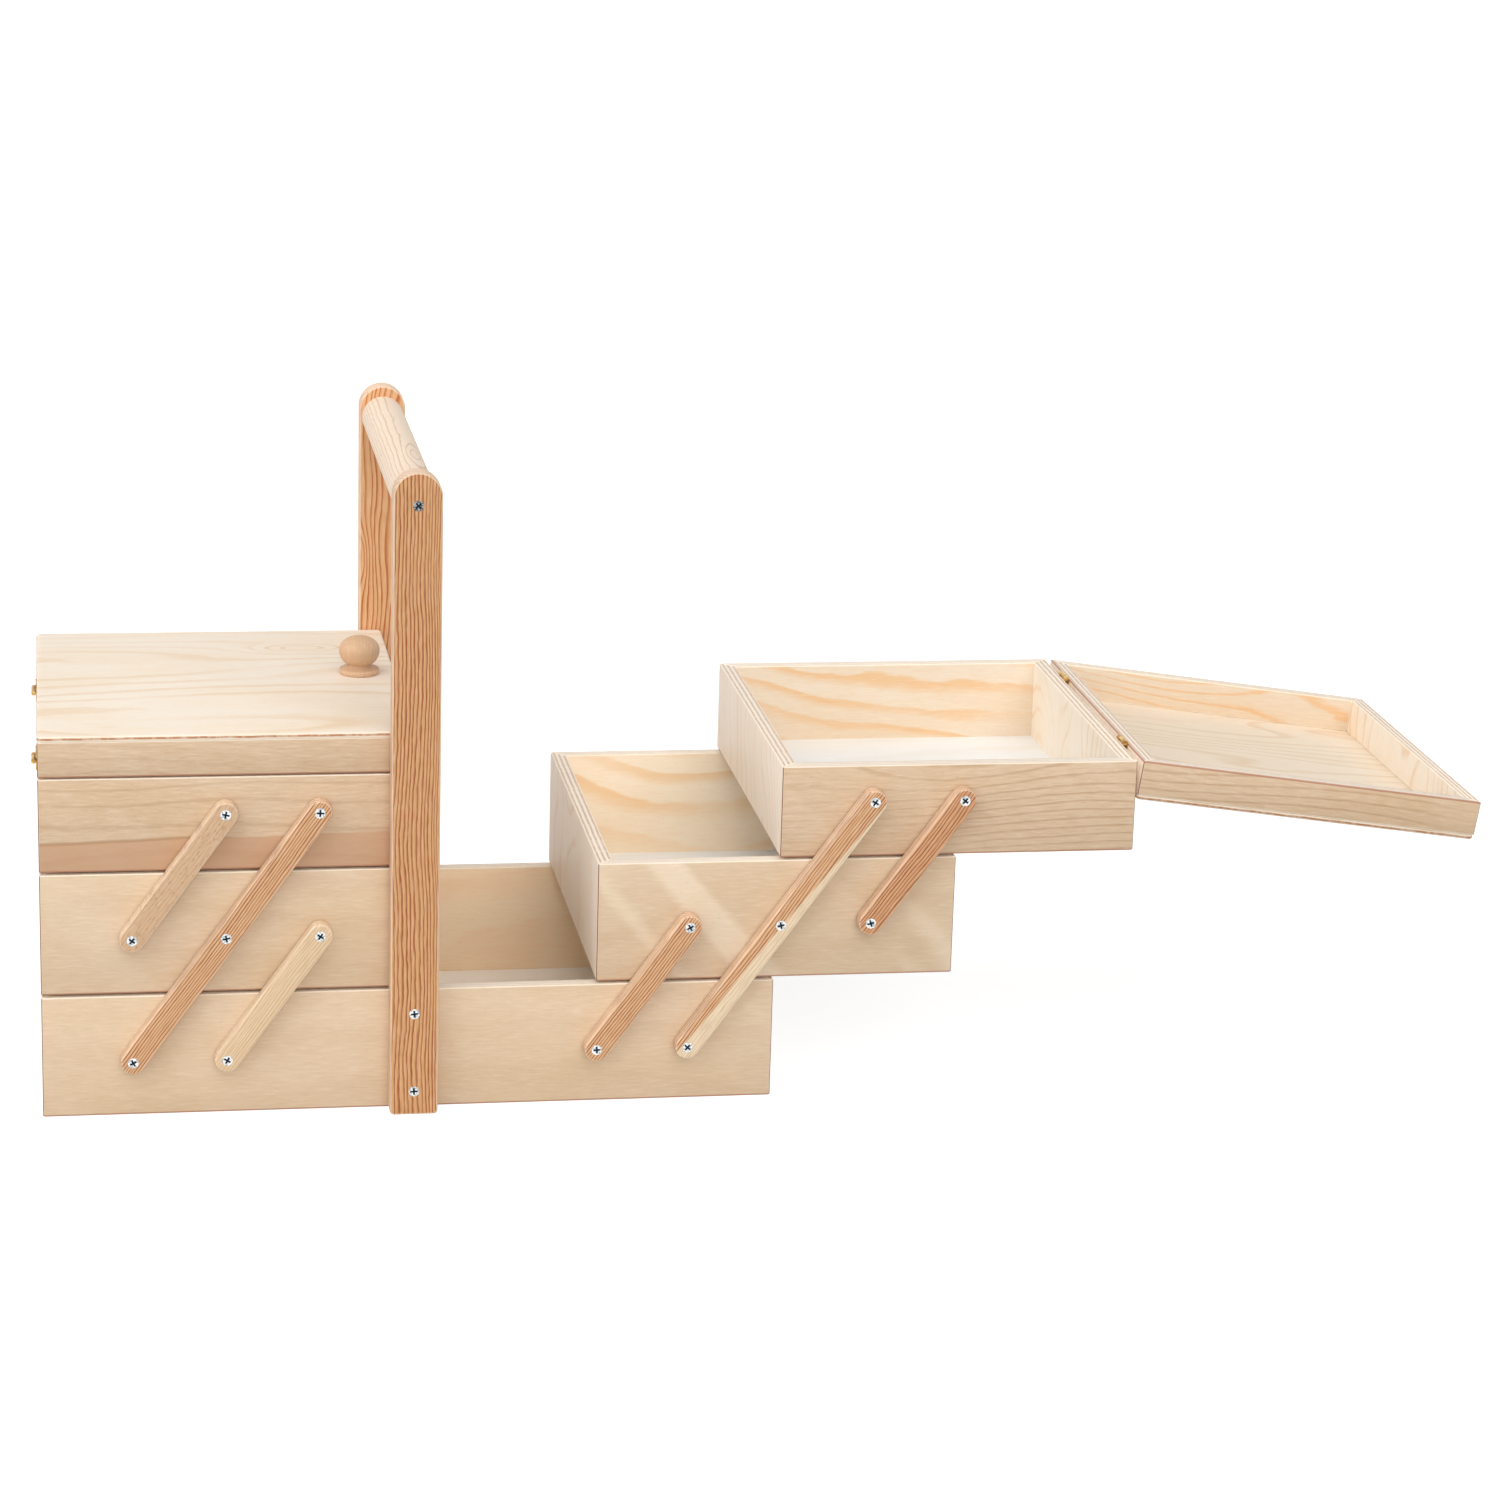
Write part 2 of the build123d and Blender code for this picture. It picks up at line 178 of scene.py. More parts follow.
# Waves of each kind of figure in a metre of veneer, along and across the grain, and how strongly
# each colours it. The pale slanting bands are no figure but a painted reflection of light.
RIPPLES = (45, 120)
PATCHES = (6, 16)
FIBRES = (110, 950)
CLOUDS = (9, 30)
PAINTED_SHEEN_WAVES = (24, 4)
PAINTED_SHEEN_SLANT = 0.8
CLOUDING = 0.6
DARK_FIBRES = 0.17
PALE_FIBRES = 0.13
DARK_PORES = 0.15
KNOT_SWIRL = 3.0
KNOT_DARKEST = 1.5
PALE_FIBRE = shade(255, 244, 226)
PAINTED_SHEEN = shade(252, 238, 216)


def stained_band(tree, along, across, cloud, look, colour):
    """A band of heartwood along the foot of a face, with a dark streak at its border."""
    band = look["band"]
    border = times(tree, along, band["slope"], band["reach"])
    border = times(tree, less(tree, cloud, 0.5), band["waver"], border)
    inside = less(tree, border, across)
    colour = stain(tree, ease(tree, inside, *band["border"]), colour, band["colour"], band["strength"])
    streak = ease(tree, sums(tree, "ABSOLUTE", inside), *band["streak"])
    streak = times(tree, streak, ease(tree, along, *band["streak_end"]))
    return stain(tree, streak, colour, look["dark"], band["streak_strength"])


def veneer(tree, along, across, look, seed):
    """A peeled face ply. The rings wander over it as long flames. Gives its colour and its relief."""
    def waves(rates, shift, detail=2.0):
        return figure(tree, along, across, rates, seed + shift, detail)

    knots = look.get("knots", ())
    drift = times(tree, waves((look["reach"], look["spread"]), 0, 0.7), look["swing"])
    rings = times(tree, across, look["rings"], drift)
    rings = times(tree, waves(RIPPLES, 3.1), look["ripple"], rings)
    rings = times(tree, along, look.get("slant", 0.0), rings)
    rings = bend_round_knots(tree, rings, along, across, knots)
    line = late_wood(tree, sums(tree, "FRACT", rings), look["start"])
    patches = ease(tree, waves(PATCHES, 7.7, 1.0), 0.3, 0.58)
    for knot in knots:
        swirl = times(tree, near_knot(tree, along, across, knot), KNOT_SWIRL)
        patches = sums(tree, "MAXIMUM", patches, sums(tree, "MINIMUM", swirl, KNOT_DARKEST))
    line = times(tree, line, times(tree, patches, look["strength"]))

    fibre = waves(FIBRES, 1.3, 3.0)
    cloud = waves(CLOUDS, 5.9)
    colour = stain(tree, ease(tree, cloud, 0.38, 0.72), look["pale"], look["blush"], CLOUDING)
    colour = stain(tree, line, colour, look["dark"])
    colour = stain(tree, ease(tree, fibre, 0.5, 0.72), colour, look["dark"], DARK_FIBRES)
    colour = stain(tree, ease(tree, fibre, 0.5, 0.28), colour, PALE_FIBRE, PALE_FIBRES)
    # Pale slanting bands laid into the colour: a painted reflection of light, as strong as the look asks.
    if "painted_sheen" in look:
        slanted = times(tree, across, PAINTED_SHEEN_SLANT, along)
        painted_sheen = ease(tree, figure(tree, slanted, across, PAINTED_SHEEN_WAVES, seed + 6.1, 1.0), 0.5, 0.62)
        colour = stain(tree, painted_sheen, colour, PAINTED_SHEEN, look["painted_sheen"])
    colour = stain(tree, flecks(tree, along, across, seed + 9.2), colour, look["dark"], DARK_PORES)
    if "band" in look:
        colour = stained_band(tree, along, across, cloud, look, colour)
    return colour, sums(tree, "ADD", fibre, times(tree, line, -0.5))


WOOD_ROUGHNESS = 0.5
ROUGHER_GRAIN = 0.12
RELIEF_STRENGTH = 0.35
VENEER_RELIEF = 0.00012
FACE_PLY = 0.55
PLY_WANDER = 0.55
PLY_WAVES = (90, 90)
PLY_DASHES = (260, 260)
EDGE_CONTRAST = 0.6
LONG_BOARD_CONTRAST = 0.3
# Rounded edges are painted paler: partly wood pale from sanding, partly a painted highlight.
SANDING_AND_HIGHLIGHT = 0.7
LONG_PLY = shade(246, 234, 216)
CROSSED_PLY = shade(178, 122, 80)
SANDED_HIGHLIT_PLY = shade(252, 240, 222)
GLUE_LINE = shade(140, 84, 50)
SEAM_SHADE = shade(160, 84, 42)
SEAM_SHADING = 0.8
# The glue line of a mitre and the painted shade along the foot of a board fade out between two distances.
MITRE_LINE = (0.0007, 0.0004)
SEAM_SHADE_HEIGHT = (0.0013, 0.0006)
SEAM_SHADE_DEPTH = (0.0009, 0.0004)


def finish_wood(tree, colour, relief, relief_height):
    """Dry, unvarnished wood with a faint raised grain."""
    shader = tree.nodes["Principled BSDF"]
    bump = tree.nodes.new("ShaderNodeBump")
    bump.inputs["Strength"].default_value = RELIEF_STRENGTH
    bump.inputs["Distance"].default_value = relief_height
    feed(tree, bump.inputs["Height"], relief)
    feed(tree, shader.inputs["Normal"], bump.outputs[0])
    feed(tree, shader.inputs["Base Color"], colour)
    roughness = times(tree, relief, ROUGHER_GRAIN, WOOD_ROUGHNESS)
    feed(tree, shader.inputs["Roughness"], roughness)


def plywood(name, thickness, crossed_plies, outer, inner, seed, edge_contrast=EDGE_CONTRAST, joint=None):
    """Plywood with a veneer on each face, and so many darker crossed plies that show on its cut edges.

    A joint names the axis that runs to the mitres, 0 along or 2 across, and how long the board is.
    Such a board has a dark brown band painted along the foot of its outer face: painted shade at the seam
    below it."""
    material, tree = new_material(name)
    place = wood_coordinates(tree)
    along, depth, across = place
    outer_colour, outer_relief = veneer(tree, along, across, outer, seed)
    inner_colour, inner_relief = veneer(tree, along, across, inner, seed + 31)
    is_inner = sums(tree, "GREATER_THAN", depth, thickness / 2)
    face = stain(tree, is_inner, outer_colour, inner_colour)
    between = less(tree, inner_relief, outer_relief)
    relief = times(tree, is_inner, between, outer_relief)

    level = times(tree, depth, 2 * crossed_plies / thickness)
    wander = less(tree, figure(tree, along, across, PLY_WAVES, seed + 2.2), 0.5)
    level_on_edge = times(tree, wander, PLY_WANDER, level)
    crossed = ease(tree, sums(tree, "PINGPONG", level_on_edge, 1.0), 0.4, 0.75)
    dashes = ease(tree, figure(tree, along, across, PLY_DASHES, seed + 4.4), 0.35, 0.6)
    crossed = times(tree, crossed, times(tree, dashes, 0.3, 0.7))
    core = stain(tree, crossed, LONG_PLY, CROSSED_PLY, edge_contrast)
    past_outer = sums(tree, "GREATER_THAN", level, FACE_PLY)
    before_inner = sums(tree, "LESS_THAN", level, 2 * crossed_plies - FACE_PLY)
    colour = stain(tree, times(tree, past_outer, before_inner), face, core)
    # Paler on the marked rounded edges: partly wood pale from sanding, partly a painted highlight.
    colour = stain(tree, kept_value(tree, "sanded_and_lit"), colour, SANDED_HIGHLIT_PLY, SANDING_AND_HIGHLIGHT)
    if joint:
        axis, length = joint
        gap = sums(tree, "MINIMUM", place[axis], less(tree, length, place[axis]))
        colour = stain(tree, ease(tree, gap, *MITRE_LINE), colour, GLUE_LINE)
        # A dark brown band along the foot of the outer face: painted shade at the seam below the board.
        low_down = ease(tree, place[2 - axis], *SEAM_SHADE_HEIGHT)
        foot = times(tree, low_down, ease(tree, depth, *SEAM_SHADE_DEPTH))
        colour = stain(tree, foot, colour, SEAM_SHADE, SEAM_SHADING)
    finish_wood(tree, colour, relief, VENEER_RELIEF)
    return material


def read_grain(solid, reading):
    """Keep on each point where it is in the board's own wood, before the board is put in place."""
    layer = solid.verts.layers.float_vector.get("grain") or solid.verts.layers.float_vector.new("grain")
    for vert in solid.verts:
        vert[layer] = Vector(reading(vert.co))


def sand_edges(solid, edges, reach, segments=3):
    """Round these edges, and mark the rounded faces to be painted paler: partly wood pale from sanding,
    partly a painted highlight.
    """
    layer = solid.faces.layers.float.get("sanded_and_lit") or solid.faces.layers.float.new("sanded_and_lit")
    rounded = bmesh.ops.bevel(
        solid, geom=edges, offset=reach, offset_type="OFFSET", segments=segments,
        profile=0.5, affect="EDGES", clamp_overlap=True,
    )
    for face in rounded["faces"]:
        face[layer] = 1.0


def skin(solid, first, second):
    """Faces between two rings of points. Where a ring is one point many times, they are triangles."""
    corners = zip(first, first[1:] + first[:1], second[1:] + second[:1], second)
    return [solid.faces.new(list(dict.fromkeys(four))) for four in corners]


def mitred_board(length, height, thickness, groove):
    """A board along X with mitred ends. Y runs in from its outer face, and a groove takes the floor."""
    section = [(0, 0), (0, height), (thickness, height)]
    if groove:
        low, high, depth = groove
        section += [(thickness, high), (thickness - depth, high), (thickness - depth, low), (thickness, low)]
    section += [(thickness, 0)]
    solid = bmesh.new()
    starts = [solid.verts.new((y, y, z)) for y, z in section]
    ends = [solid.verts.new((length - y, y, z)) for y, z in section]
    solid.faces.new(starts)
    solid.faces.new(ends)
    skin(solid, starts, ends)
    bmesh.ops.recalc_face_normals(solid, faces=solid.faces)
    in_groove = {vert for vert in solid.verts if groove and 0 < vert.co.z < height}
    sand_edges(solid, [edge for edge in solid.edges if not set(edge.verts) & in_groove], SANDED_EDGE)
    return solid


def stand(corner, height, quarters):
    """Put a board's outer lower corner there, turned by quarters about the upright."""
    return Matrix.Translation((*corner, height)) @ Matrix.Rotation(quarters * math.pi / 2, 4, "Z")


def put_in_scene(name, data):
    thing = bpy.data.objects.new(name, data)
    bpy.context.scene.collection.objects.link(thing)
    return thing


def finish_piece(name, mesh, body, nodes):
    """Show a mesh as one finished piece that stands for these CAD nodes and rides on a body."""
    piece = put_in_scene(name, mesh)
    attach(piece, body)
    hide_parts(*nodes)


def add_piece(name, solids, material, body, nodes, smooth_below=SMOOTH_BELOW):
    """Put solids in their places and join them into one finished piece.

    It is shaded smooth over edges that turn by less than so many degrees."""
    joined = bmesh.new()
    joined.verts.layers.float_vector.new("grain")
    joined.faces.layers.float.new("sanded_and_lit")
    for solid, place in solids:
        solid.transform(place)
        part = bpy.data.meshes.new("part")
        solid.to_mesh(part)
        solid.free()
        joined.from_mesh(part)
        bpy.data.meshes.remove(part)
    bmesh.ops.recalc_face_normals(joined, faces=joined.faces)
    mesh = bpy.data.meshes.new(name)
    joined.to_mesh(mesh)
    joined.free()
    for face in mesh.polygons:
        face.use_smooth = True
    mesh.set_sharp_from_angle(angle=math.radians(smooth_below))
    mesh.materials.append(material)
    finish_piece(name, mesh, body, nodes)


def along_board(co):
    return co.x, co.y, co.z


def up_board(co):
    return co.z, co.y, co.x


def four_boards(low, high, thickness, groove):
    """Front, right, back and left boards of a box, mitred at its corners, each with its place.

    The grain runs along the front and back, and up the ends."""
    corners = [(low.x, low.y), (high.x, low.y), (high.x, high.y), (low.x, high.y)]
    lengths = [high.x - low.x, high.y - low.y] * 2
    boards = []
    for quarters, (corner, length) in enumerate(zip(corners, lengths)):
        solid = mitred_board(length, high.z - low.z, thickness, groove)
        read_grain(solid, up_board if quarters % 2 else along_board)
        boards.append((solid, stand(corner, low.z, quarters)))
    return boards


def block(low, high):
    """A plain block between two corners."""
    solid = bmesh.new()
    bmesh.ops.create_cube(solid, size=1.0)
    for vert in solid.verts:
        vert.co = [(a + b) / 2 + co * (b - a) for a, b, co in zip(low, high, vert.co)]
    return solid


def flat_panel(low, high):
    """A flat board with all its edges rounded and marked to be painted paler, and its grain along X."""
    solid = block(low, high)
    sand_edges(solid, list(solid.edges), SANDED_EDGE, 2)
    read_grain(solid, lambda co: (co.x - low.x, co.z - low.z, co.y - low.y))
    return solid


QUIET = dict(
    pale=shade(222, 196, 165), dark=shade(192, 157, 117), blush=shade(218, 190, 154),
    rings=26, swing=5, ripple=0.2, reach=3, spread=7, start=0.3, strength=0.14, painted_sheen=0.05,
)
# The same plain face, with strong pale slanting bands of painted reflection.
QUIET_WITH_PAINTED_SHEEN = dict(QUIET, pale=shade(216, 190, 159), blush=shade(212, 184, 150), painted_sheen=0.34)
WAVY = dict(
    pale=shade(213, 185, 153), dark=shade(170, 128, 88), blush=shade(208, 176, 140),
    rings=125, swing=14, ripple=0.34, reach=3.5, spread=13, start=0.62, strength=0.46, painted_sheen=0.05,
)
FINE_WAVES = dict(WAVY, rings=160, swing=11, strength=0.18)
BOLD_WAVES = dict(FINE_WAVES, strength=0.44)
HEARTWOOD_BAND = dict(
    reach=0.0175, slope=0.018, waver=0.008, border=(-0.0004, 0.0006), colour=shade(200, 155, 120),
    strength=0.75, streak=(0.0013, 0.0004), streak_end=(0.13, 0.07), streak_strength=0.6,
)
BANDED = dict(WAVY, band=HEARTWOOD_BAND, rings=100, swing=9, ripple=0.2, start=0.7, strength=0.28)
# Inner faces are painted paler than outer faces: partly their own flamed veneer, partly painted light inside
# the trays.
FLAMED = dict(
    pale=shade(231, 214, 192), dark=shade(229, 177, 114), blush=shade(229, 205, 175),
    rings=40, swing=9, ripple=0.34, reach=5.5, spread=8, start=0.42, strength=0.68, slant=-5,
)
SOFT_FLAMES = dict(
    FLAMED, pale=shade(252, 234, 208), dark=shade(242, 196, 138), blush=shade(250, 226, 194),
    swing=8, ripple=0.28, reach=5, slant=0,
)
RIBBED = dict(
    FLAMED, pale=shade(227, 209, 186), rings=130, swing=13, spread=12, start=0.62, strength=0.6, slant=0,
)
# End faces are painted paler than long faces: partly their own veneer, partly painted light standing in for
# the light that falls on them.
END_FACE = dict(
    pale=shade(254, 241, 226), dark=shade(226, 188, 150), blush=shade(250, 232, 211),
    rings=75, swing=14, ripple=0.4, reach=7, spread=9, start=0.7, strength=0.36,
)
# Inner end faces, painted paler too: partly painted light inside the trays.
END_INSIDE = dict(
    pale=shade(248, 237, 222), dark=shade(233, 190, 140), blush=shade(245, 230, 208),
    rings=42, swing=16, ripple=0.36, reach=8, spread=9, start=0.66, strength=0.48,
)
# Tray floors are painted near white: partly their own pale ply, partly painted light inside the trays.
FLOOR_FACE = dict(
    pale=shade(241, 243, 244), dark=shade(232, 226, 216), blush=shade(239, 239, 234),
    rings=26, swing=6, ripple=0.4, reach=3, spread=7, start=0.4, strength=0.3,
)
# The base's floor and inner faces are painted paler and warmer: partly their own wood, partly painted light
# inside the base.
BASE_FLOOR = dict(
    FLOOR_FACE, pale=shade(255, 250, 242), blush=shade(255, 245, 233), dark=shade(250, 234, 212),
)
BASE_INSIDE = dict(
    pale=shade(255, 230, 195), dark=shade(248, 194, 146), blush=shade(255, 221, 182),
    rings=26, swing=5, ripple=0.4, reach=3, spread=7, start=0.3, strength=0.3,
)
NEXT_BOARD = 11.3


def add_box(prefix, body, seed, looks, floor_look, grooved=True):
    """The four boards and the floor of the base or of a tray, in place of its CAD nodes."""
    low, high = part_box(f"{prefix}_front_wall")
    thickness = high.y - low.y
    high = Vector((high.x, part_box(f"{prefix}_back_wall")[1].y, high.z))
    floor_low, floor_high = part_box(f"{prefix}_floor")
    groove = None
    if grooved:
        groove = (floor_low.z - low.z, floor_high.z - low.z, thickness - (floor_low.x - low.x))
    front, right, back, left = four_boards(low, high, thickness, groove)
    for face, board in (("front", front), ("back", back)):
        wood = plywood(
            f"{prefix}_{face}_wood", thickness, CROSSED_PLIES, *looks["long"], seed,
            LONG_BOARD_CONTRAST, (0, high.x - low.x),
        )
        add_piece(f"{prefix}_{face}_board", [board], wood, body, [f"{prefix}_{face}_wall"])
        seed += NEXT_BOARD
    wood = plywood(
        f"{prefix}_end_wood", thickness, CROSSED_PLIES, *looks["ends"], seed, joint=(2, high.y - low.y),
    )
    add_piece(f"{prefix}_end_boards", [left, right], wood, body, [f"{prefix}_end_walls"])
    wood = plywood(
        f"{prefix}_floor_wood", floor_high.z - floor_low.z, PANEL_CROSSED_PLIES,
        floor_look, floor_look, seed + 5,
    )
    panel = [(flat_panel(floor_low, floor_high), Matrix())]
    add_piece(f"{prefix}_floor_panel", panel, wood, body, [f"{prefix}_floor"])


add_box(
    "base", "base", 3.0, dict(long=(QUIET, BASE_INSIDE), ends=(END_FACE, BASE_INSIDE)),
    BASE_FLOOR, grooved=False,
)


# Each side has a middle and a top tray of the same plywood, with a thin pale floor in grooves.
# Their outer faces are plain or softly waved, and the faces turned inwards are boldly flamed.
TRAY_LOOKS = dict(
    left_middle=(QUIET, SOFT_FLAMES), left_top=(BANDED, FLAMED),
    right_middle=(QUIET_WITH_PAINTED_SHEEN, SOFT_FLAMES), right_top=(WAVY, FLAMED),
)
for index, (tray, looks) in enumerate(TRAY_LOOKS.items()):
    add_box(
        f"{tray}_tray", f"{tray}_tray", 50.0 + 40 * index,
        dict(long=looks, ends=(END_FACE, END_INSIDE)), FLOOR_FACE,
    )


# Each lid is a shallow frame of four mitred rails under a thin plywood panel with rounded edges.
# The left lid is shut. The right one is laid back about its hinge.
LID_OPEN = math.radians(188)
PANEL_CORNER = 0.003
PANEL_CORNER_STEPS = 6
PANEL_EDGE = 0.0019
PANEL_EDGE_STEPS = 5
RAIL_CONTRAST = 0.5
PANEL_CONTRAST = 1.0
# The panel's top is painted paler than the fronts: partly its own veneer, partly painted light on a face
# turned up.
LID_TOP = dict(
    pale=shade(245, 232, 215), dark=shade(228, 194, 150), blush=shade(242, 222, 196),
    rings=34, swing=10, ripple=0.3, reach=2.6, spread=10, start=0.5, strength=0.5,
    knots=[(0.157, 0.19, 0.026, 0.009, 3.2)],
)
LID_INSIDE = dict(
    pale=shade(236, 220, 199), dark=shade(214, 184, 146), blush=shade(232, 212, 186),
    rings=80, swing=14, ripple=0.2, reach=3, spread=11, start=0.6, strength=0.5,
)
LID_WOODS = dict(left=(FINE_WAVES, 240.0), right=(BOLD_WAVES, 261.0))


def lid_swing(side):
    """How the lid has turned about its hinge from where it is shut."""
    if side == "left":
        return Matrix()
    pin = next(Vector(j["pos_m"]) for j in frame["joints"] if j["name"] == f"{side}_lid_hinge")
    return Matrix.Translation(pin) @ Matrix.Rotation(LID_OPEN, 4, "Y") @ Matrix.Translation(-pin)


def rounded_panel(low, high):
    """The lid's panel: rounded corners in plan, and upper edges rounded over."""
    solid = block(low, high)
    half = (high.z - low.z) / 2
    uprights = [edge for edge in solid.edges if abs(edge.verts[0].co.z - edge.verts[1].co.z) > half]
    bmesh.ops.bevel(
        solid, geom=uprights, offset=PANEL_CORNER, segments=PANEL_CORNER_STEPS,
        profile=0.5, affect="EDGES",
    )
    upper = [edge for edge in solid.edges if all(v.co.z > high.z - SANDED_EDGE for v in edge.verts)]
    sand_edges(solid, upper, PANEL_EDGE, PANEL_EDGE_STEPS)
    read_grain(solid, lambda co: (co.x - low.x, high.z - co.z, co.y - low.y))
    layer = solid.faces.layers.float["sanded_and_lit"]
    for face in solid.faces:
        face[layer] = 0.0
    return solid


rail_low, rail_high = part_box("left_lid_side_rails")
panel_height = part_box("left_lid_panel")[1].z
for side, (side_look, seed) in LID_WOODS.items():
    swing = lid_swing(side)
    low, high = (corner.copy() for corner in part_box(f"{side}_top_tray_front_wall"))
    rail = high.y - low.y
    low.z, high.z = rail_low.z, rail_high.z
    high.y = -low.y
    front, right, back, left = four_boards(low, high, rail, None)
    for kind, boards, looks, own_seed, contrast, joint in (
        ("side", (front, back), (side_look, RIBBED), seed, RAIL_CONTRAST, (0, high.x - low.x)),
        ("end", (left, right), (END_FACE, END_INSIDE), seed + 7, EDGE_CONTRAST, (2, high.y - low.y)),
    ):
        name = f"{side}_lid_{kind}_rail"
        wood = plywood(f"{name}_wood", rail, CROSSED_PLIES, *looks, own_seed, contrast, joint)
        rails = [(solid, swing @ place) for solid, place in boards]
        add_piece(f"{name}_boards", rails, wood, f"{side}_lid", [f"{name}s"])
    wood = plywood(
        f"{side}_lid_panel_wood", panel_height - high.z, PANEL_CROSSED_PLIES,
        LID_TOP, LID_INSIDE, seed + 15, PANEL_CONTRAST,
    )
    panel = rounded_panel(Vector((low.x, low.y, high.z)), Vector((high.x, high.y, panel_height)))
    add_piece(
        f"{side}_lid_panel_board", [(panel, swing)], wood, f"{side}_lid",
        [f"{side}_lid_panel"],
    )


# Each lid has a turned beech knob near its free end: a moulded foot, a narrow neck and a ball,
# glued into the panel by a short spigot.
KNOB_INSET = 0.021
KNOB_SET_BACK = 0.013
KNOB_SECTION = dict(
    foot=0.012, foot_height=0.0032, foot_flat=0.93, foot_step=0.9, neck_start=0.88,
    neck=0.0067, neck_height=0.006, ball=0.012, ball_height=0.0144, swell=1.15, height=0.0227,
)
FOOT_STEPS = 8
NECK_STEPS = 6
SWELL_STEPS = 11
CROWN_STEPS = 16
KNOB_STEPS = 56
KNOB_SMOOTH_BELOW = 50

# Waves of each kind of figure in a metre of solid wood, and how far they reach.
DRIFT_ACROSS = 20
UNEVEN_ALONG = 0.6
UNEVEN_PER_RING = 0.4
STRIPE_RIPPLES = (70, 260)
STRIPE_PATCHES = (10, 120)
TIMBER_FIBRES = (90, 1500)
CROWDED_PAST = 0.002
SAP_WAVER = 0.006
SAP_BORDER = 0.0008
SAP_STRIPES = 0.4
PALE_TIMBER_FIBRES = 0.2
TIMBER_RELIEF = 0.00015
PALE_TIMBER_FIBRE = shade(250, 230, 204)
TIMBER_PORE = shade(150, 104, 66)
SANDED_HIGHLIT_TIMBER = shade(248, 228, 204)
TIMBER = dict(ripple=0.0009, fibre=0.3, pores=0.1, sanded_and_lit_paleness=0.8, knots=())


def knob_section(sizes):
    """Radius and height of the turned outline, from the panel up to the crown."""
    foot, rise = sizes["foot"], sizes["foot_height"]
    flat, waist = sizes["foot_flat"] * foot, sizes["neck_start"] * foot
    neck, neck_height = sizes["neck"], sizes["neck_height"]
    ball, middle, top = sizes["ball"], sizes["ball_height"], sizes["height"]
    line = [(0.0, 0.0), (flat, 0.0)]
    for step in range(1, FOOT_STEPS):
        turn = math.pi * step / FOOT_STEPS
        line.append((flat + (foot - flat) * math.sin(turn), rise * (1 - math.cos(turn)) / 2))
    line.append((sizes["foot_step"] * foot, rise))
    for step in range(1, NECK_STEPS + 1):
        turn = math.pi / 2 * step / NECK_STEPS
        height = rise + (neck_height - rise) * (1 - math.cos(turn))
        line.append((waist - (waist - neck) * math.sin(turn), height))
    for step in range(1, SWELL_STEPS + 1):
        turn = math.pi / 2 * step / SWELL_STEPS
        swell = math.sin(turn) ** sizes["swell"]
        line.append((neck + (ball - neck) * swell, middle - (middle - neck_height) * math.cos(turn)))
    for step in range(1, CROWN_STEPS):
        turn = math.pi / 2 * step / CROWN_STEPS
        line.append((ball * math.cos(turn), middle + (top - middle) * math.sin(turn)))
    line.append((0.0, top))
    return line


def turned(line, steps):
    """Turn an outline of (radius, height) about the upright. Its ends are on the axis."""
    solid = bmesh.new()
    turns = [2 * math.pi * step / steps for step in range(steps)]
    rings = []
    for radius, height in line:
        if radius == 0:
            rings.append([solid.verts.new((0, 0, height))] * steps)
        else:
            points = [(radius * math.cos(turn), radius * math.sin(turn), height) for turn in turns]
            rings.append([solid.verts.new(point) for point in points])
    for lower, upper in zip(rings, rings[1:]):
        skin(solid, lower, upper)
    bmesh.ops.recalc_face_normals(solid, faces=solid.faces)
    return solid


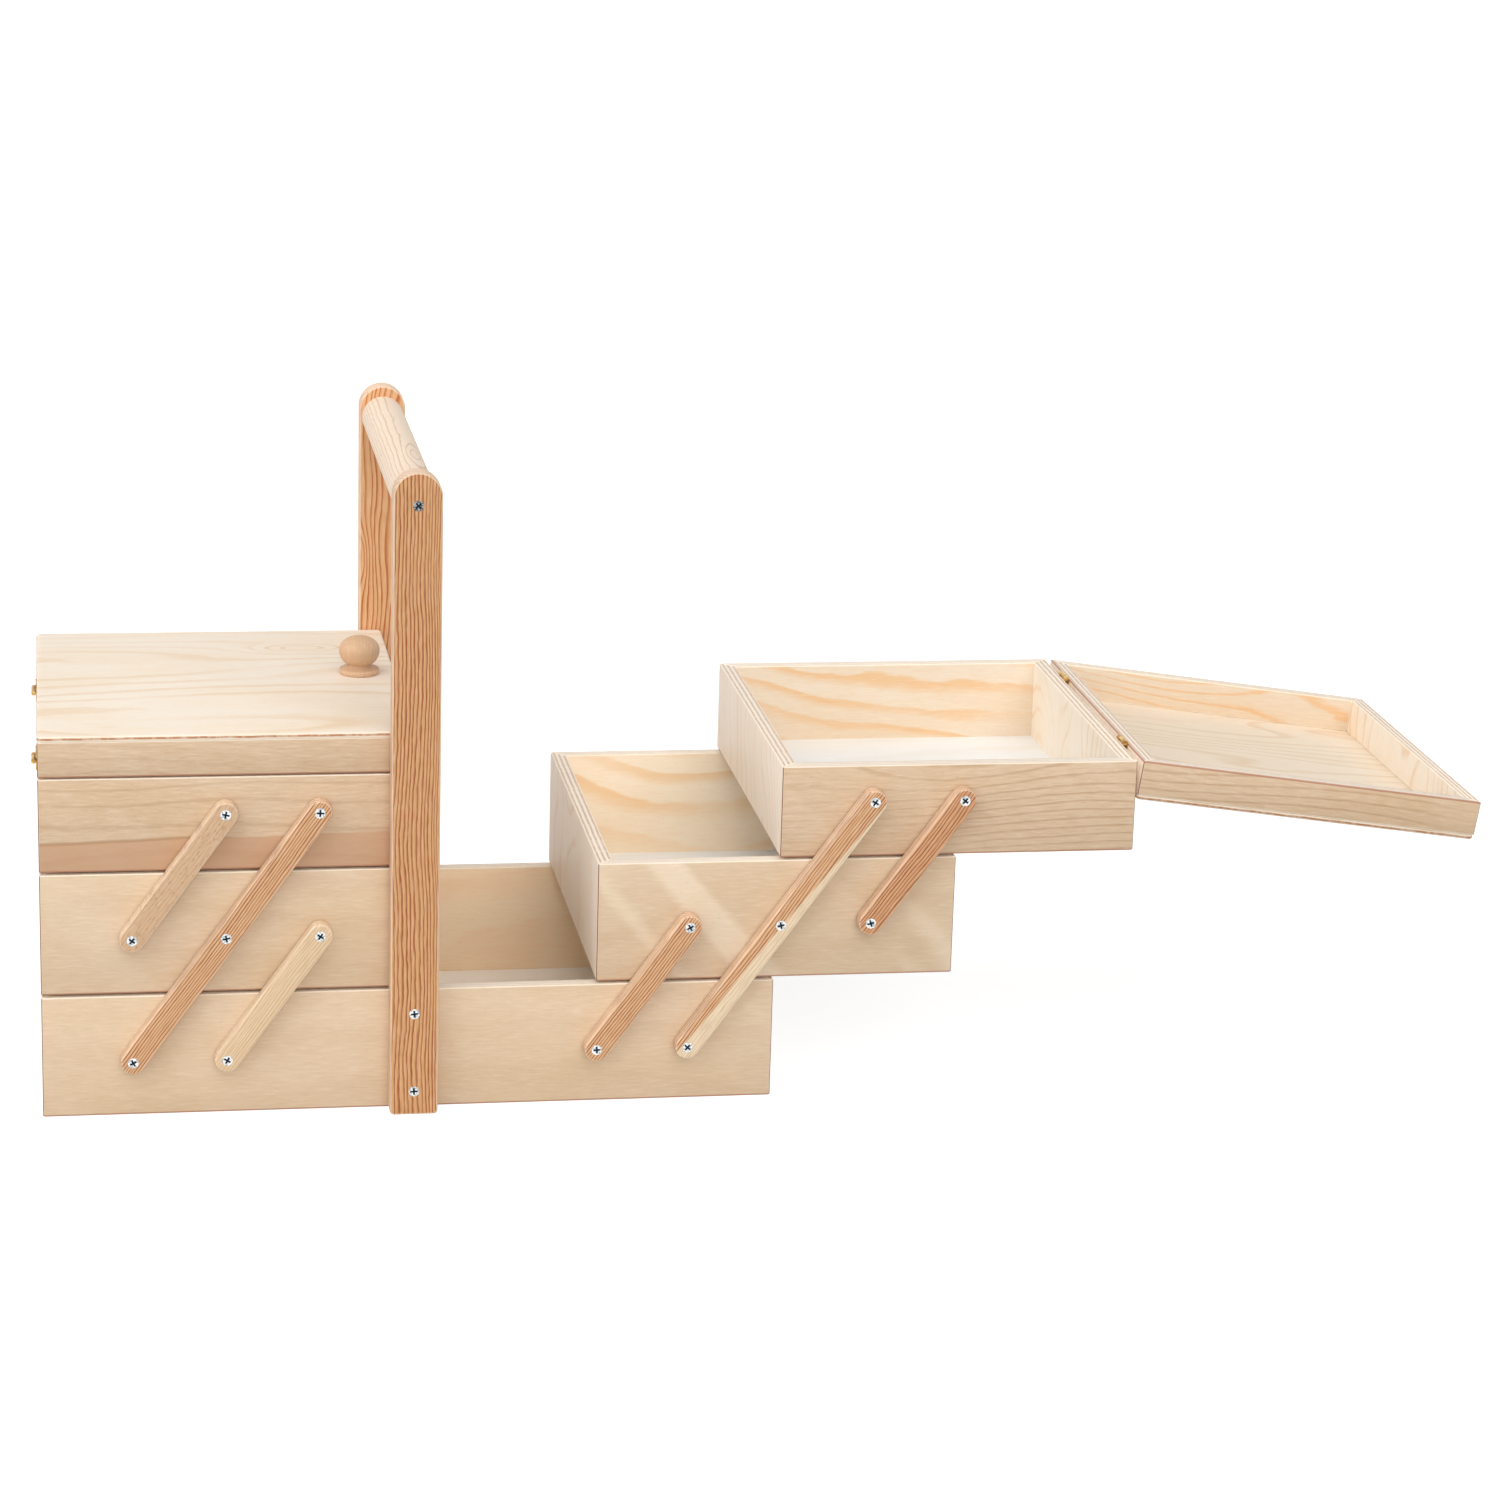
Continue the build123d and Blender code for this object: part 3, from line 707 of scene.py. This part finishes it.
def timber(name, seed, look):
    """Solid wood cut near the edge of the log, so that its rings run along it as stripes.

    Rings are so many in a metre. The pith is an offset in the board's section, and a knot bends the
    rings round a place along and across the board."""
    material, tree = new_material(name)
    along, depth, across = wood_coordinates(tree)
    sideways = less(tree, across, look["pith"][0])
    inwards = less(tree, depth, look["pith"][1])
    squares = times(tree, sideways, sideways, times(tree, inwards, inwards))
    distance = sums(tree, "SQRT", squares)
    drift = figure(tree, along, across, (look["reach"], DRIFT_ACROSS), seed, 1.0)
    drift = less(tree, drift, 0.5)
    ripple = less(tree, figure(tree, along, across, STRIPE_RIPPLES, seed + 3), 0.5)
    distance = times(tree, drift, look["swing"], distance)
    distance = times(tree, ripple, look["ripple"], distance)
    distance = bend_round_knots(tree, distance, along, across, look["knots"])
    uneven = figure(tree, along, distance, (UNEVEN_ALONG, look["rings"] * UNEVEN_PER_RING), seed + 9, 1.0)
    turns = times(tree, distance, look["rings"], uneven)
    if "crowd" in look:
        past = sums(tree, "MAXIMUM", less(tree, across, CROWDED_PAST), 0.0)
        turns = times(tree, times(tree, past, past), look["crowd"], turns)
    line = late_wood(tree, sums(tree, "FRACT", turns), look["start"])
    patches = ease(tree, figure(tree, along, across, STRIPE_PATCHES, seed + 6), 0.3, 0.7)
    line = times(tree, line, times(tree, patches, 0.35, 0.75))

    dark = look["dark"]
    colour = stain(tree, line, look["pale"], dark, look["strength"])
    if "sapwood" in look:
        sap_pale, sap_dark, edge, slope = look["sapwood"]
        sap = stain(tree, line, sap_pale, sap_dark, look["strength"] * SAP_STRIPES)
        border = times(tree, along, slope, across)
        border = times(tree, drift, SAP_WAVER, border)
        colour = stain(tree, ease(tree, border, edge - SAP_BORDER, edge + SAP_BORDER), sap, colour)
    fibre = figure(tree, along, across, TIMBER_FIBRES, seed + 1, 3.0)
    colour = stain(tree, ease(tree, fibre, 0.46, 0.75), colour, dark, look["fibre"])
    colour = stain(tree, ease(tree, fibre, 0.5, 0.25), colour, PALE_TIMBER_FIBRE, PALE_TIMBER_FIBRES)
    colour = stain(tree, flecks(tree, along, across, seed + 12), colour, TIMBER_PORE, look["pores"])
    # Painted paler where marked: rounded edges as wood pale from sanding and a painted highlight, the flat
    # sides of bars as painted light.
    colour = stain(tree, kept_value(tree, "sanded_and_lit"), colour, SANDED_HIGHLIT_TIMBER, look["sanded_and_lit_paleness"])
    relief = sums(tree, "ADD", fibre, times(tree, line, 0.6))
    finish_wood(tree, colour, relief, TIMBER_RELIEF)
    return material


BEECH = dict(
    TIMBER, pale=shade(214, 176, 140), dark=shade(186, 140, 98), rings=300, pith=(0.03, 0.05),
    swing=0.002, reach=9, start=0.2, strength=0.1, pores=0.2, fibre=0.12,
)
beech = timber("knob_beech", 5.0, BEECH)
for side in ("left", "right"):
    low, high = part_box(f"{side}_top_tray_front_wall")
    centre_x = high.x - KNOB_INSET if side == "left" else low.x + KNOB_INSET
    knob = turned(knob_section(KNOB_SECTION), KNOB_STEPS)
    read_grain(knob, up_board)
    place = lid_swing(side) @ Matrix.Translation((centre_x, KNOB_SET_BACK, panel_height))
    add_piece(
        f"{side}_lid_turned_knob", [(knob, place)], beech, f"{side}_lid",
        [f"{side}_lid_knob"], KNOB_SMOOTH_BELOW,
    )


# Two flat posts of strongly striped larch stand on the outside of the base's long boards. They have
# round tops and eased edges, and each is held by two screws below and one into the handle's end.
POST_EDGE = 0.0008
EDGE_STEPS = 4
# How much paler the sides of posts and arms are painted: painted light on the flat sides, most where they
# face up, and a painted highlight on the rounded edges.
PAINTED_SIDE_LIGHT = 0.45
PAINTED_TOP_LIGHT = 0.75
PAINTED_EDGE_HIGHLIGHT = 0.7
POST_FOOT = 0.0025
POST_FOOT_STEPS = 6
ROUND_STEPS = 28
BAR_SMOOTH_BELOW = 30
SCREW_HEAD = 0.003
SCREW_SHANK = 0.0016
HEAD_LAND = 0.00025
HOLE_FIT = 0.00006
HOLE_STEPS = 40
POST_SCREWS = (0.014, 0.061)
HANDLE_DROP = 0.0186


def arc(centre, radius, start, turn, steps):
    """Points on part of a circle, both ends in."""
    angles = [math.radians(start + turn * step / steps) for step in range(steps + 1)]
    return [(centre[0] + radius * math.cos(a), centre[1] + radius * math.sin(a)) for a in angles]


def post_outline(width, height, inset):
    """Front view of a post from its foot up, drawn in from its outline by inset."""
    half = width / 2
    foot = POST_FOOT - inset
    line = arc((half - POST_FOOT, POST_FOOT), foot, -90, 90, POST_FOOT_STEPS)
    line += arc((0, height - half), half - inset, 0, 180, ROUND_STEPS)
    line += arc((POST_FOOT - half, POST_FOOT), foot, 180, 90, POST_FOOT_STEPS)
    return line


def bar_outline(length, width, inset):
    """A bar with round ends, from the origin along X, drawn in from its outline by inset."""
    radius = width / 2 - inset
    return arc((length, 0), radius, -90, 180, ROUND_STEPS) + arc((0, 0), radius, 90, 180, ROUND_STEPS)


def drilled_bar(outline, thickness, edge, holes):
    """A flat bar whose outer face is at Z 0 and whose back is at -thickness, with countersunk holes."""
    solid = bmesh.new()
    turns = [math.pi / 2 * step / EDGE_STEPS for step in range(EDGE_STEPS + 1)]
    rounding = [(edge * (1 - math.sin(turn)), edge * (1 - math.cos(turn))) for turn in turns]
    levels = rounding + [(inset, thickness - depth) for inset, depth in reversed(rounding)]
    loops = [[solid.verts.new((x, y, -depth)) for x, y in outline(inset)] for inset, depth in levels]
    layer = solid.faces.layers.float.new("sanded_and_lit")
    # Each flat side is painted paler as painted light, the more as it faces up, and each rounded face as a
    # painted highlight.
    for index, (upper, lower) in enumerate(zip(loops, loops[1:])):
        for face, start, end in zip(skin(solid, upper, lower), upper, upper[1:] + upper[:1]):
            run = end.co - start.co
            side = PAINTED_SIDE_LIGHT + (PAINTED_TOP_LIGHT - PAINTED_SIDE_LIGHT) * max(0.0, -run.x / run.length)
            face[layer] = side if index == EDGE_STEPS else PAINTED_EDGE_HIGHLIGHT

    head, shank = SCREW_HEAD + HOLE_FIT, SCREW_SHANK + HOLE_FIT
    sink = [(head, 0), (head, HEAD_LAND), (shank, HEAD_LAND + head - shank), (shank, thickness)]
    outer_rings, inner_rings = [loops[0]], [loops[-1]]
    for centre in holes:
        rings = [
            [solid.verts.new((*point, -depth)) for point in arc(centre, radius, 0, 360, HOLE_STEPS)[:-1]]
            for radius, depth in sink
        ]
        for upper, lower in zip(rings, rings[1:]):
            skin(solid, upper, lower)
        outer_rings.append(rings[0])
        inner_rings.append(rings[-1])
    for face_rings in (outer_rings, inner_rings):
        edges = [solid.edges.get(ends) for ring in face_rings for ends in zip(ring, ring[1:] + ring[:1])]
        bmesh.ops.triangle_fill(solid, edges=edges, use_beauty=True)
    bmesh.ops.recalc_face_normals(solid, faces=solid.faces)
    return solid


def facing(origin, along, face):
    """Local X along a direction in the XZ plane, and local Z out of the front (-1) or back (1) face."""
    x_axis = Vector((along[0], 0, along[1])).normalized()
    z_axis = Vector((0, face, 0))
    y_axis = z_axis.cross(x_axis)
    turn = Matrix((x_axis, y_axis, z_axis)).transposed().to_4x4()
    return Matrix.Translation(origin) @ turn


FACES = dict(front=-1, back=1)
FRONT_POST = dict(
    TIMBER, pale=shade(213, 161, 109), dark=shade(146, 70, 22), rings=440, pith=(-0.08, -0.02),
    swing=0.012, reach=9, ripple=0.0018, start=0.38, strength=1.0, crowd=14000,
)
BACK_POST = dict(
    TIMBER, pale=shade(227, 178, 128), dark=shade(188, 98, 36), rings=390, pith=(-0.08, -0.02),
    swing=0.03, reach=9, start=0.42, strength=1.0, knots=[(0.27, 0.012, 0.02, 0.006, 0.006)],
)
post_woods = dict(
    front=timber("front_post_larch", 12.0, FRONT_POST),
    back=timber("back_post_larch", 27.0, BACK_POST),
)
for name, face in FACES.items():
    low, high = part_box(f"{name}_post")
    width, thickness, height = high - low
    screws = [(0, z) for z in POST_SCREWS + (height - HANDLE_DROP,)]
    post = drilled_bar(lambda inset: post_outline(width, height, inset), thickness, POST_EDGE, screws)
    read_grain(post, lambda co: (co.y, -co.z, co.x))
    place = facing((0, low.y if face < 0 else high.y, 0), (-face, 0), face)
    add_piece(
        f"{name}_post_board", [(post, place)], post_woods[name], "base",
        [f"{name}_post"], BAR_SMOOTH_BELOW,
    )


# The handle is one round rod of pale pine between the posts, with its ends just broken. A screw
# through the top of each post holds it.
ROD_STEPS = 72
ROD_LENGTHS = 30
low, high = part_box("handle_bar")
rod_radius, rod_length = (high.x - low.x) / 2, high.y - low.y
plain_length = rod_length - 2 * SANDED_EDGE
rod_line = [(0.0, 0.0), (rod_radius - SANDED_EDGE, 0.0)]
for step in range(ROD_LENGTHS + 1):
    rod_line.append((rod_radius, SANDED_EDGE + plain_length * step / ROD_LENGTHS))
rod_line += [(rod_radius - SANDED_EDGE, rod_length), (0.0, rod_length)]
rod = turned(rod_line, ROD_STEPS)
read_grain(rod, up_board)
ROD_PINE = dict(
    TIMBER, pale=shade(242, 221, 198), dark=shade(188, 142, 106), rings=430, pith=(-0.04, -0.07),
    swing=0.006, reach=12, start=0.66, strength=0.5, knots=[(0.165, 0.005, 0.02, 0.0055, 0.0045)],
    fibre=0.12,
)
rod_wood = timber("handle_pine", 41.0, ROD_PINE)
place = Matrix.Translation((0, high.y, (low.z + high.z) / 2)) @ Matrix.Rotation(math.pi / 2, 4, "X")
add_piece("handle_rod", [(rod, place)], rod_wood, "base", ["handle_bar"], BAR_SMOOTH_BELOW)


# Twelve flat arms with round ends carry the trays, three on each side of the front and of the back.
# They are ripped from mixed pine and larch, so some are boldly striped and some are almost plain.
ARM_EDGE = 0.0008
LARCH = dict(
    TIMBER, pale=shade(222, 174, 128), dark=shade(132, 66, 26), rings=680, pith=(0.07, -0.03),
    swing=0.008, reach=9, start=0.45, strength=1.0, sanded_and_lit_paleness=0.5,
)
TAN = dict(
    LARCH, pale=shade(212, 176, 140), dark=shade(172, 126, 88), rings=500, strength=0.3, pores=0.7,
)
CREAM = dict(
    LARCH, pale=shade(228, 200, 163), dark=shade(190, 146, 102), rings=660, strength=0.6,
)
SAPPED = dict(
    LARCH, rings=640, sapwood=(shade(235, 213, 180), shade(200, 158, 116), 0.003, 0.045),
)
BOLD = dict(LARCH, rings=560, start=0.4, ripple=0.0013, pale=shade(212, 158, 112))
pivots = {j["name"]: Vector(j["pos_m"]) for j in frame["joints"]}


def add_arm(name, holes, look, seed):
    """One arm on the front and its twin on the back, from the first to the last of its holes."""
    low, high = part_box(f"{name}_front")
    thickness = high.y - low.y
    start = holes[0]
    run = holes[-1] - start
    width = (high.x - low.x) - abs(run.x)
    along = run.normalized()
    places = [((hole - start).length, 0) for hole in holes]
    for end, face in FACES.items():
        wood = timber(f"{name}_{end}_wood", seed + face, look)
        bar = drilled_bar(lambda inset: bar_outline(run.length, width, inset), thickness, ARM_EDGE, places)
        read_grain(bar, lambda co: (co.x, -co.z, co.y))
        node_low, node_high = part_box(f"{name}_{end}")
        outer_y = node_low.y if face < 0 else node_high.y
        place = facing((start.x, outer_y, start.z), (along.x, along.z), face)
        add_piece(
            f"{name}_{end}_bar", [(bar, place)], wood, f"{name}_{end}",
            [f"{name}_{end}"], BAR_SMOOTH_BELOW,
        )


ARM_WOODS = dict(
    left=dict(long=(LARCH, 61.0), lower=(CREAM, 70.0), upper=(TAN, 81.0)),
    right=dict(long=(SAPPED, 92.0), lower=(LARCH, 99.0), upper=(BOLD, 104.0)),
)
tray_pivots = {}
for side in ("left", "right"):
    base_long = pivots[f"{side}_arm_swing"]
    middle_long = pivots[f"{side}_middle_tray_pivot"]
    top_long = pivots[f"{side}_top_tray_pivot"]
    base_lower = pivots[f"{side}_lower_arm_front_swing"]
    middle_upper = pivots[f"{side}_upper_arm_front_swing"]
    middle_lower = base_lower + middle_long - base_long
    top_upper = middle_upper + top_long - middle_long
    tray_pivots[side] = dict(
        base=[base_long, base_lower],
        middle=[middle_long, middle_lower, middle_upper],
        top=[top_long, top_upper],
    )
    runs = dict(
        long=[base_long, middle_long, top_long],
        lower=[base_lower, middle_lower],
        upper=[middle_upper, top_upper],
    )
    for kind, holes in runs.items():
        add_arm(f"{side}_{kind}_arm", holes, *ARM_WOODS[side][kind])


# Bright zinc wood screws with crossed recesses fill every countersink. Each is turned by hand to its
# own angle, and a few are duller than the rest.
SCREW_SIZES = {
    "Head radius": SCREW_HEAD, "Head land": HEAD_LAND,
    "Shank radius": SCREW_SHANK, "Shank length": 0.0165, "Tip radius": 0.0002,
    "Recess reach": 0.0042, "Recess width": 0.0011, "Recess depth": 0.0012,
}
ARM_SCREW_DULLNESS = 0.15
POST_SCREW_DULLNESS = 0.2
HANDLE_SCREW_DULLNESS = 0.9


def screw_rows():
    """A tree that sets one cross-head screw on each point, facing out and turned as the point says."""
    tree = bpy.data.node_groups.new("screw_rows", "GeometryNodeTree")
    tree.interface.new_socket("Geometry", in_out="INPUT", socket_type="NodeSocketGeometry")
    for label, size in SCREW_SIZES.items():
        socket = tree.interface.new_socket(label, in_out="INPUT", socket_type="NodeSocketFloat")
        socket.default_value = size
    tree.interface.new_socket("Finish", in_out="INPUT", socket_type="NodeSocketMaterial")
    tree.interface.new_socket("Geometry", in_out="OUTPUT", socket_type="NodeSocketGeometry")
    points = tree.nodes.new("NodeGroupInput").outputs

    def step(kind, inputs, output=0, **settings):
        node = tree.nodes.new(kind)
        for key, value in settings.items():
            setattr(node, key, value)
        for key, value in inputs.items():
            feed(tree, node.inputs[key], value)
        return node.outputs[output]

    def calc(operation, a, b=0.0):
        return step("ShaderNodeMath", {0: a, 1: b}, operation=operation)

    def moved(geometry, z):
        offset = step("ShaderNodeCombineXYZ", {2: z})
        return step("GeometryNodeTransform", {"Geometry": geometry, "Translation": offset})

    def tapered(top, bottom, depth, drop):
        sizes = {"Vertices": HOLE_STEPS, "Radius Top": top, "Radius Bottom": bottom, "Depth": depth}
        return moved(step("GeometryNodeMeshCone", sizes), calc("MULTIPLY", drop, -1.0))

    def joined(operation, parts, first):
        result = step("GeometryNodeMeshBoolean", first, operation=operation, solver="EXACT")
        for part in parts:
            tree.links.new(part, result.node.inputs["Mesh 2"])
        return result

    head, land, shank = points["Head radius"], points["Head land"], points["Shank radius"]
    taper = calc("SUBTRACT", head, shank)
    rim = moved(
        step("GeometryNodeMeshCylinder", {"Vertices": HOLE_STEPS, "Radius": head, "Depth": land}),
        calc("MULTIPLY", land, -0.5),
    )
    cone = tapered(head, shank, taper, calc("ADD", land, taper))
    stem_length = points["Shank length"]
    stem_start = calc("ADD", land, calc("MULTIPLY", taper, 0.5))
    stem = tapered(shank, points["Tip radius"], stem_length, calc("ADD", stem_length, stem_start))
    reach, width = points["Recess reach"], points["Recess width"]
    depth = calc("MULTIPLY", points["Recess depth"], 2.0)
    bars = [
        step("GeometryNodeMeshCube", {"Size": step("ShaderNodeCombineXYZ", {0: a, 1: b, 2: depth})})
        for a, b in ((reach, width), (width, reach))
    ]
    cut = joined("DIFFERENCE", bars, {"Mesh 1": joined("UNION", (rim, cone, stem), {})})

    height = step("ShaderNodeSeparateXYZ", {0: step("GeometryNodeInputPosition", {})}, 2)
    sunk = step(
        "GeometryNodeStoreNamedAttribute",
        {"Geometry": cut, "Name": "sunk", "Value": calc("MULTIPLY", height, -1.0)},
        data_type="FLOAT",
    )
    out_of_wood = step("GeometryNodeInputNamedAttribute", {"Name": "facing"}, data_type="FLOAT_VECTOR")
    turning = step("GeometryNodeInputNamedAttribute", {"Name": "turning"}, data_type="FLOAT")
    aligned = step("FunctionNodeAlignRotationToVector", {"Vector": out_of_wood}, axis="Z")
    screws = step(
        "GeometryNodeInstanceOnPoints",
        {"Points": points["Geometry"], "Instance": sunk, "Rotation": aligned},
    )
    spin = step("ShaderNodeCombineXYZ", {2: turning})
    screws = step("GeometryNodeRotateInstances", {"Instances": screws, "Rotation": spin, "Local Space": True})
    screws = step("GeometryNodeRealizeInstances", {"Geometry": screws})
    screws = step("GeometryNodeSetMaterial", {"Geometry": screws, "Material": points["Finish"]})
    tree.links.new(screws, tree.nodes.new("NodeGroupOutput").inputs[0])
    return tree


def speckle(tree, scale, detail=2.0):
    """Smooth random values from 0 to 1, with so many waves in a metre every way."""
    coordinates = tree.nodes.new("ShaderNodeTexCoord")
    noise = tree.nodes.new("ShaderNodeTexNoise")
    noise.inputs["Scale"].default_value = scale
    noise.inputs["Detail"].default_value = detail
    feed(tree, noise.inputs["Vector"], coordinates.outputs["Object"])
    return noise.outputs[0]


def finish_metal(tree, colour, speckles, rougher, roughness, metallic):
    shader = tree.nodes["Principled BSDF"]
    feed(tree, shader.inputs["Base Color"], colour)
    feed(tree, shader.inputs["Roughness"], times(tree, speckles, rougher, roughness))
    shader.inputs["Metallic"].default_value = metallic


def zinc_finish():
    """Bright zinc, painted darker to blue-black down in the recess as painted shade."""
    material, tree = new_material("bright_zinc")
    speckles = speckle(tree, 900)
    worn = ease(tree, speckles, 0.42, 0.6)
    bright = stain(tree, worn, shade(252, 252, 250), shade(184, 194, 198))
    dulled = stain(tree, worn, shade(150, 154, 154), shade(30, 33, 34))
    bright = stain(tree, kept_value(tree, "dull"), bright, dulled)
    # Painted shade: the recess is painted blue-black, the more the deeper it goes.
    recess_shade = ease(tree, kept_value(tree, "sunk"), 0.0, 0.0003)
    finish_metal(tree, stain(tree, recess_shade, bright, shade(24, 40, 52)), speckles, 0.25, 0.2, 0.85)
    return material


def add_screws(name, body, places, nodes):
    """One mesh of screws for a body. A place is a point, where its head faces and how dull it is."""
    points, directions, dullness = zip(*places)
    turns = [screw_turns.uniform(0, math.pi / 2) for _ in places]
    carrier = bpy.data.meshes.new(name + "_places")
    carrier.from_pydata(points, [], [])
    heads = carrier.attributes.new("facing", "FLOAT_VECTOR", "POINT")
    heads.data.foreach_set("vector", [part for direction in directions for part in direction])
    for label, values in (("turning", turns), ("dull", dullness)):
        carrier.attributes.new(label, "FLOAT", "POINT").data.foreach_set("value", values)
    source = put_in_scene(name + "_source", carrier)
    modifier = source.modifiers.new("screws", "NODES")
    modifier.node_group = screw_tree
    for item in screw_tree.interface.items_tree:
        if item.in_out == "INPUT" and item.name in SCREW_SIZES:
            modifier[item.identifier] = SCREW_SIZES[item.name]
        if item.in_out == "INPUT" and item.name == "Finish":
            modifier[item.identifier] = zinc
    graph = bpy.context.evaluated_depsgraph_get()
    mesh = bpy.data.meshes.new_from_object(source.evaluated_get(graph))
    source.modifiers.remove(modifier)
    bpy.data.objects.remove(source)
    mesh.name = name
    finish_piece(name, mesh, body, nodes)


screw_turns = random.Random(7)
screw_tree = screw_rows()
zinc = zinc_finish()
arm_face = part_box("left_long_arm_back")[1].y
post_face, post_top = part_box("back_post")[1].yz


def on_both_faces(x, y, z, dullness):
    """A screw at the same place on the front and on the back."""
    return [((x, face * y, z), (0, face, 0), dullness) for face in FACES.values()]


def on_arms(points):
    places = [on_both_faces(point.x, arm_face, point.z, ARM_SCREW_DULLNESS) for point in points]
    return sum(places, [])


post_places = []
for height in POST_SCREWS:
    post_places += on_both_faces(0, post_face, height, POST_SCREW_DULLNESS)
post_places += on_both_faces(0, post_face, post_top - HANDLE_DROP, HANDLE_SCREW_DULLNESS)
base_places = on_arms(tray_pivots["left"]["base"] + tray_pivots["right"]["base"])
add_screws("base_screw_heads", "base", base_places + post_places, ["base_pivot_screws", "post_screws"])
for side in ("left", "right"):
    for level in ("middle", "top"):
        add_screws(
            f"{side}_{level}_screw_heads", f"{side}_{level}_tray", on_arms(tray_pivots[side][level]),
            [f"{side}_{level}_pivot_screws"],
        )


# The small brass hinges are thin leaves screwed to the outside of the tray and of the lid, with
# their barrels rolled round a pin at the seam.
def brass_finish():
    """Rolled brass, brighter in random rubbed patches and browner elsewhere."""
    material, tree = new_material("hinge_brass")
    speckles = speckle(tree, 420, 4.0)
    rubbed = ease(tree, speckles, 0.35, 0.7)
    colour = stain(tree, rubbed, shade(176, 132, 62), shade(236, 204, 132))
    finish_metal(tree, colour, speckles, 0.3, 0.18, 1.0)
    return material


brass = brass_finish()
for side in ("left", "right"):
    for part in ("tray_leaves", "lid_leaves", "pins", "tray_screws", "lid_screws"):
        node = frame["nodes"][f"{side}_hinge_{part}"]
        node.data.materials.clear()
        node.data.materials.append(brass)


# The box stands on a plain white floor that runs on behind it, under an even white sky. Wide soft
# lamps stand in front, high above and to the left.
SKY_STRENGTH = 0.26
FLOOR_GLOW = 0.82
FLOOR_WHITE = 0.6
FLOOR_SEEN_WHITE = 0.42
FLOOR_HALF = 20.0
LAMPS = dict(
    front=dict(bearing=4, height=19, width=30, strength=0.75),
    high=dict(bearing=12, height=62, width=70, strength=1.34),
    left=dict(bearing=-72, height=36, width=80, strength=1.54),
)


def plainly_seen(tree):
    """1 where the camera sees the surface, straight or in metal or glass, and 0 where light reaches it."""
    seen = tree.nodes.new("ShaderNodeLightPath").outputs
    straight = sums(tree, "MAXIMUM", seen["Is Camera Ray"], seen["Is Glossy Ray"])
    return sums(tree, "MAXIMUM", straight, seen["Is Transmission Ray"])


def matt_paint(tree, level):
    paint = tree.nodes.new("ShaderNodeBsdfDiffuse")
    paint.inputs["Color"].default_value = (level, level, level, 1)
    return paint.outputs[0]


floor_mesh = bpy.data.meshes.new("studio_floor")
corners = [(x * FLOOR_HALF, y * FLOOR_HALF, 0) for x, y in ((-1, -1), (1, -1), (1, 1), (-1, 1))]
floor_mesh.from_pydata(corners, [], [(0, 1, 2, 3)])
put_in_scene("studio_floor", floor_mesh)
floor_paint, tree = new_material("floor_white")
tree.nodes.remove(tree.nodes["Principled BSDF"])
glow = tree.nodes.new("ShaderNodeEmission")
glow.inputs["Strength"].default_value = FLOOR_GLOW
lit = tree.nodes.new("ShaderNodeAddShader")
feed(tree, lit.inputs[0], matt_paint(tree, FLOOR_SEEN_WHITE))
feed(tree, lit.inputs[1], glow.outputs[0])
pick = tree.nodes.new("ShaderNodeMixShader")
feed(tree, pick.inputs[0], plainly_seen(tree))
feed(tree, pick.inputs[1], matt_paint(tree, FLOOR_WHITE))
feed(tree, pick.inputs[2], lit.outputs[0])
feed(tree, tree.nodes["Material Output"].inputs[0], pick.outputs[0])
floor_mesh.materials.append(floor_paint)

sky = bpy.data.worlds.new("white_sky")
bpy.context.scene.world = sky
sky.use_nodes = True
tree = sky.node_tree
background = tree.nodes["Background"]
background.inputs["Color"].default_value = (1, 1, 1, 1)
strength = times(tree, plainly_seen(tree), 1 - SKY_STRENGTH, SKY_STRENGTH)
feed(tree, background.inputs["Strength"], strength)

for name, lamp in LAMPS.items():
    bearing, height = math.radians(lamp["bearing"]), math.radians(lamp["height"])
    light = bpy.data.lights.new(f"{name}_lamp", "SUN")
    light.energy = lamp["strength"]
    light.angle = math.radians(lamp["width"])
    forwards, sideways = -math.cos(bearing) * math.cos(height), math.sin(bearing) * math.cos(height)
    towards = Vector((sideways, forwards, math.sin(height)))
    put_in_scene(f"{name}_lamp", light).rotation_euler = towards.to_track_quat("Z", "Y").to_euler()


# The camera stands a little left of the middle and looks down on the box from about sixteen degrees,
# through a long lens and rolled a little, as in the photograph.
CAMERA_PLACE = (-0.19906, -2.36349, 0.85775)
CAMERA_TURN = 0.1724
CAMERA_TILT = 0.2766
CAMERA_ROLL = 0.0307
CAMERA_LENS = 99.463
SENSOR_WIDTH = 36.0

ahead = Vector((
    math.sin(CAMERA_TURN) * math.cos(CAMERA_TILT),
    math.cos(CAMERA_TURN) * math.cos(CAMERA_TILT),
    -math.sin(CAMERA_TILT),
))
level_right = Vector((math.cos(CAMERA_TURN), -math.sin(CAMERA_TURN), 0))
level_up = level_right.cross(ahead)
camera_right = math.cos(CAMERA_ROLL) * level_right + math.sin(CAMERA_ROLL) * level_up
camera_up = math.cos(CAMERA_ROLL) * level_up - math.sin(CAMERA_ROLL) * level_right
camera_data = bpy.data.cameras.new("camera")
camera_data.lens = CAMERA_LENS
camera_data.sensor_width = SENSOR_WIDTH
camera_data.sensor_fit = "HORIZONTAL"
camera_data.clip_end = 100.0
camera = put_in_scene("camera", camera_data)
turn = Matrix((camera_right, camera_up, -ahead)).transposed().to_4x4()
camera.matrix_world = Matrix.Translation(CAMERA_PLACE) @ turn
bpy.context.scene.camera = camera
bpy.context.scene.view_settings.view_transform = "Standard"
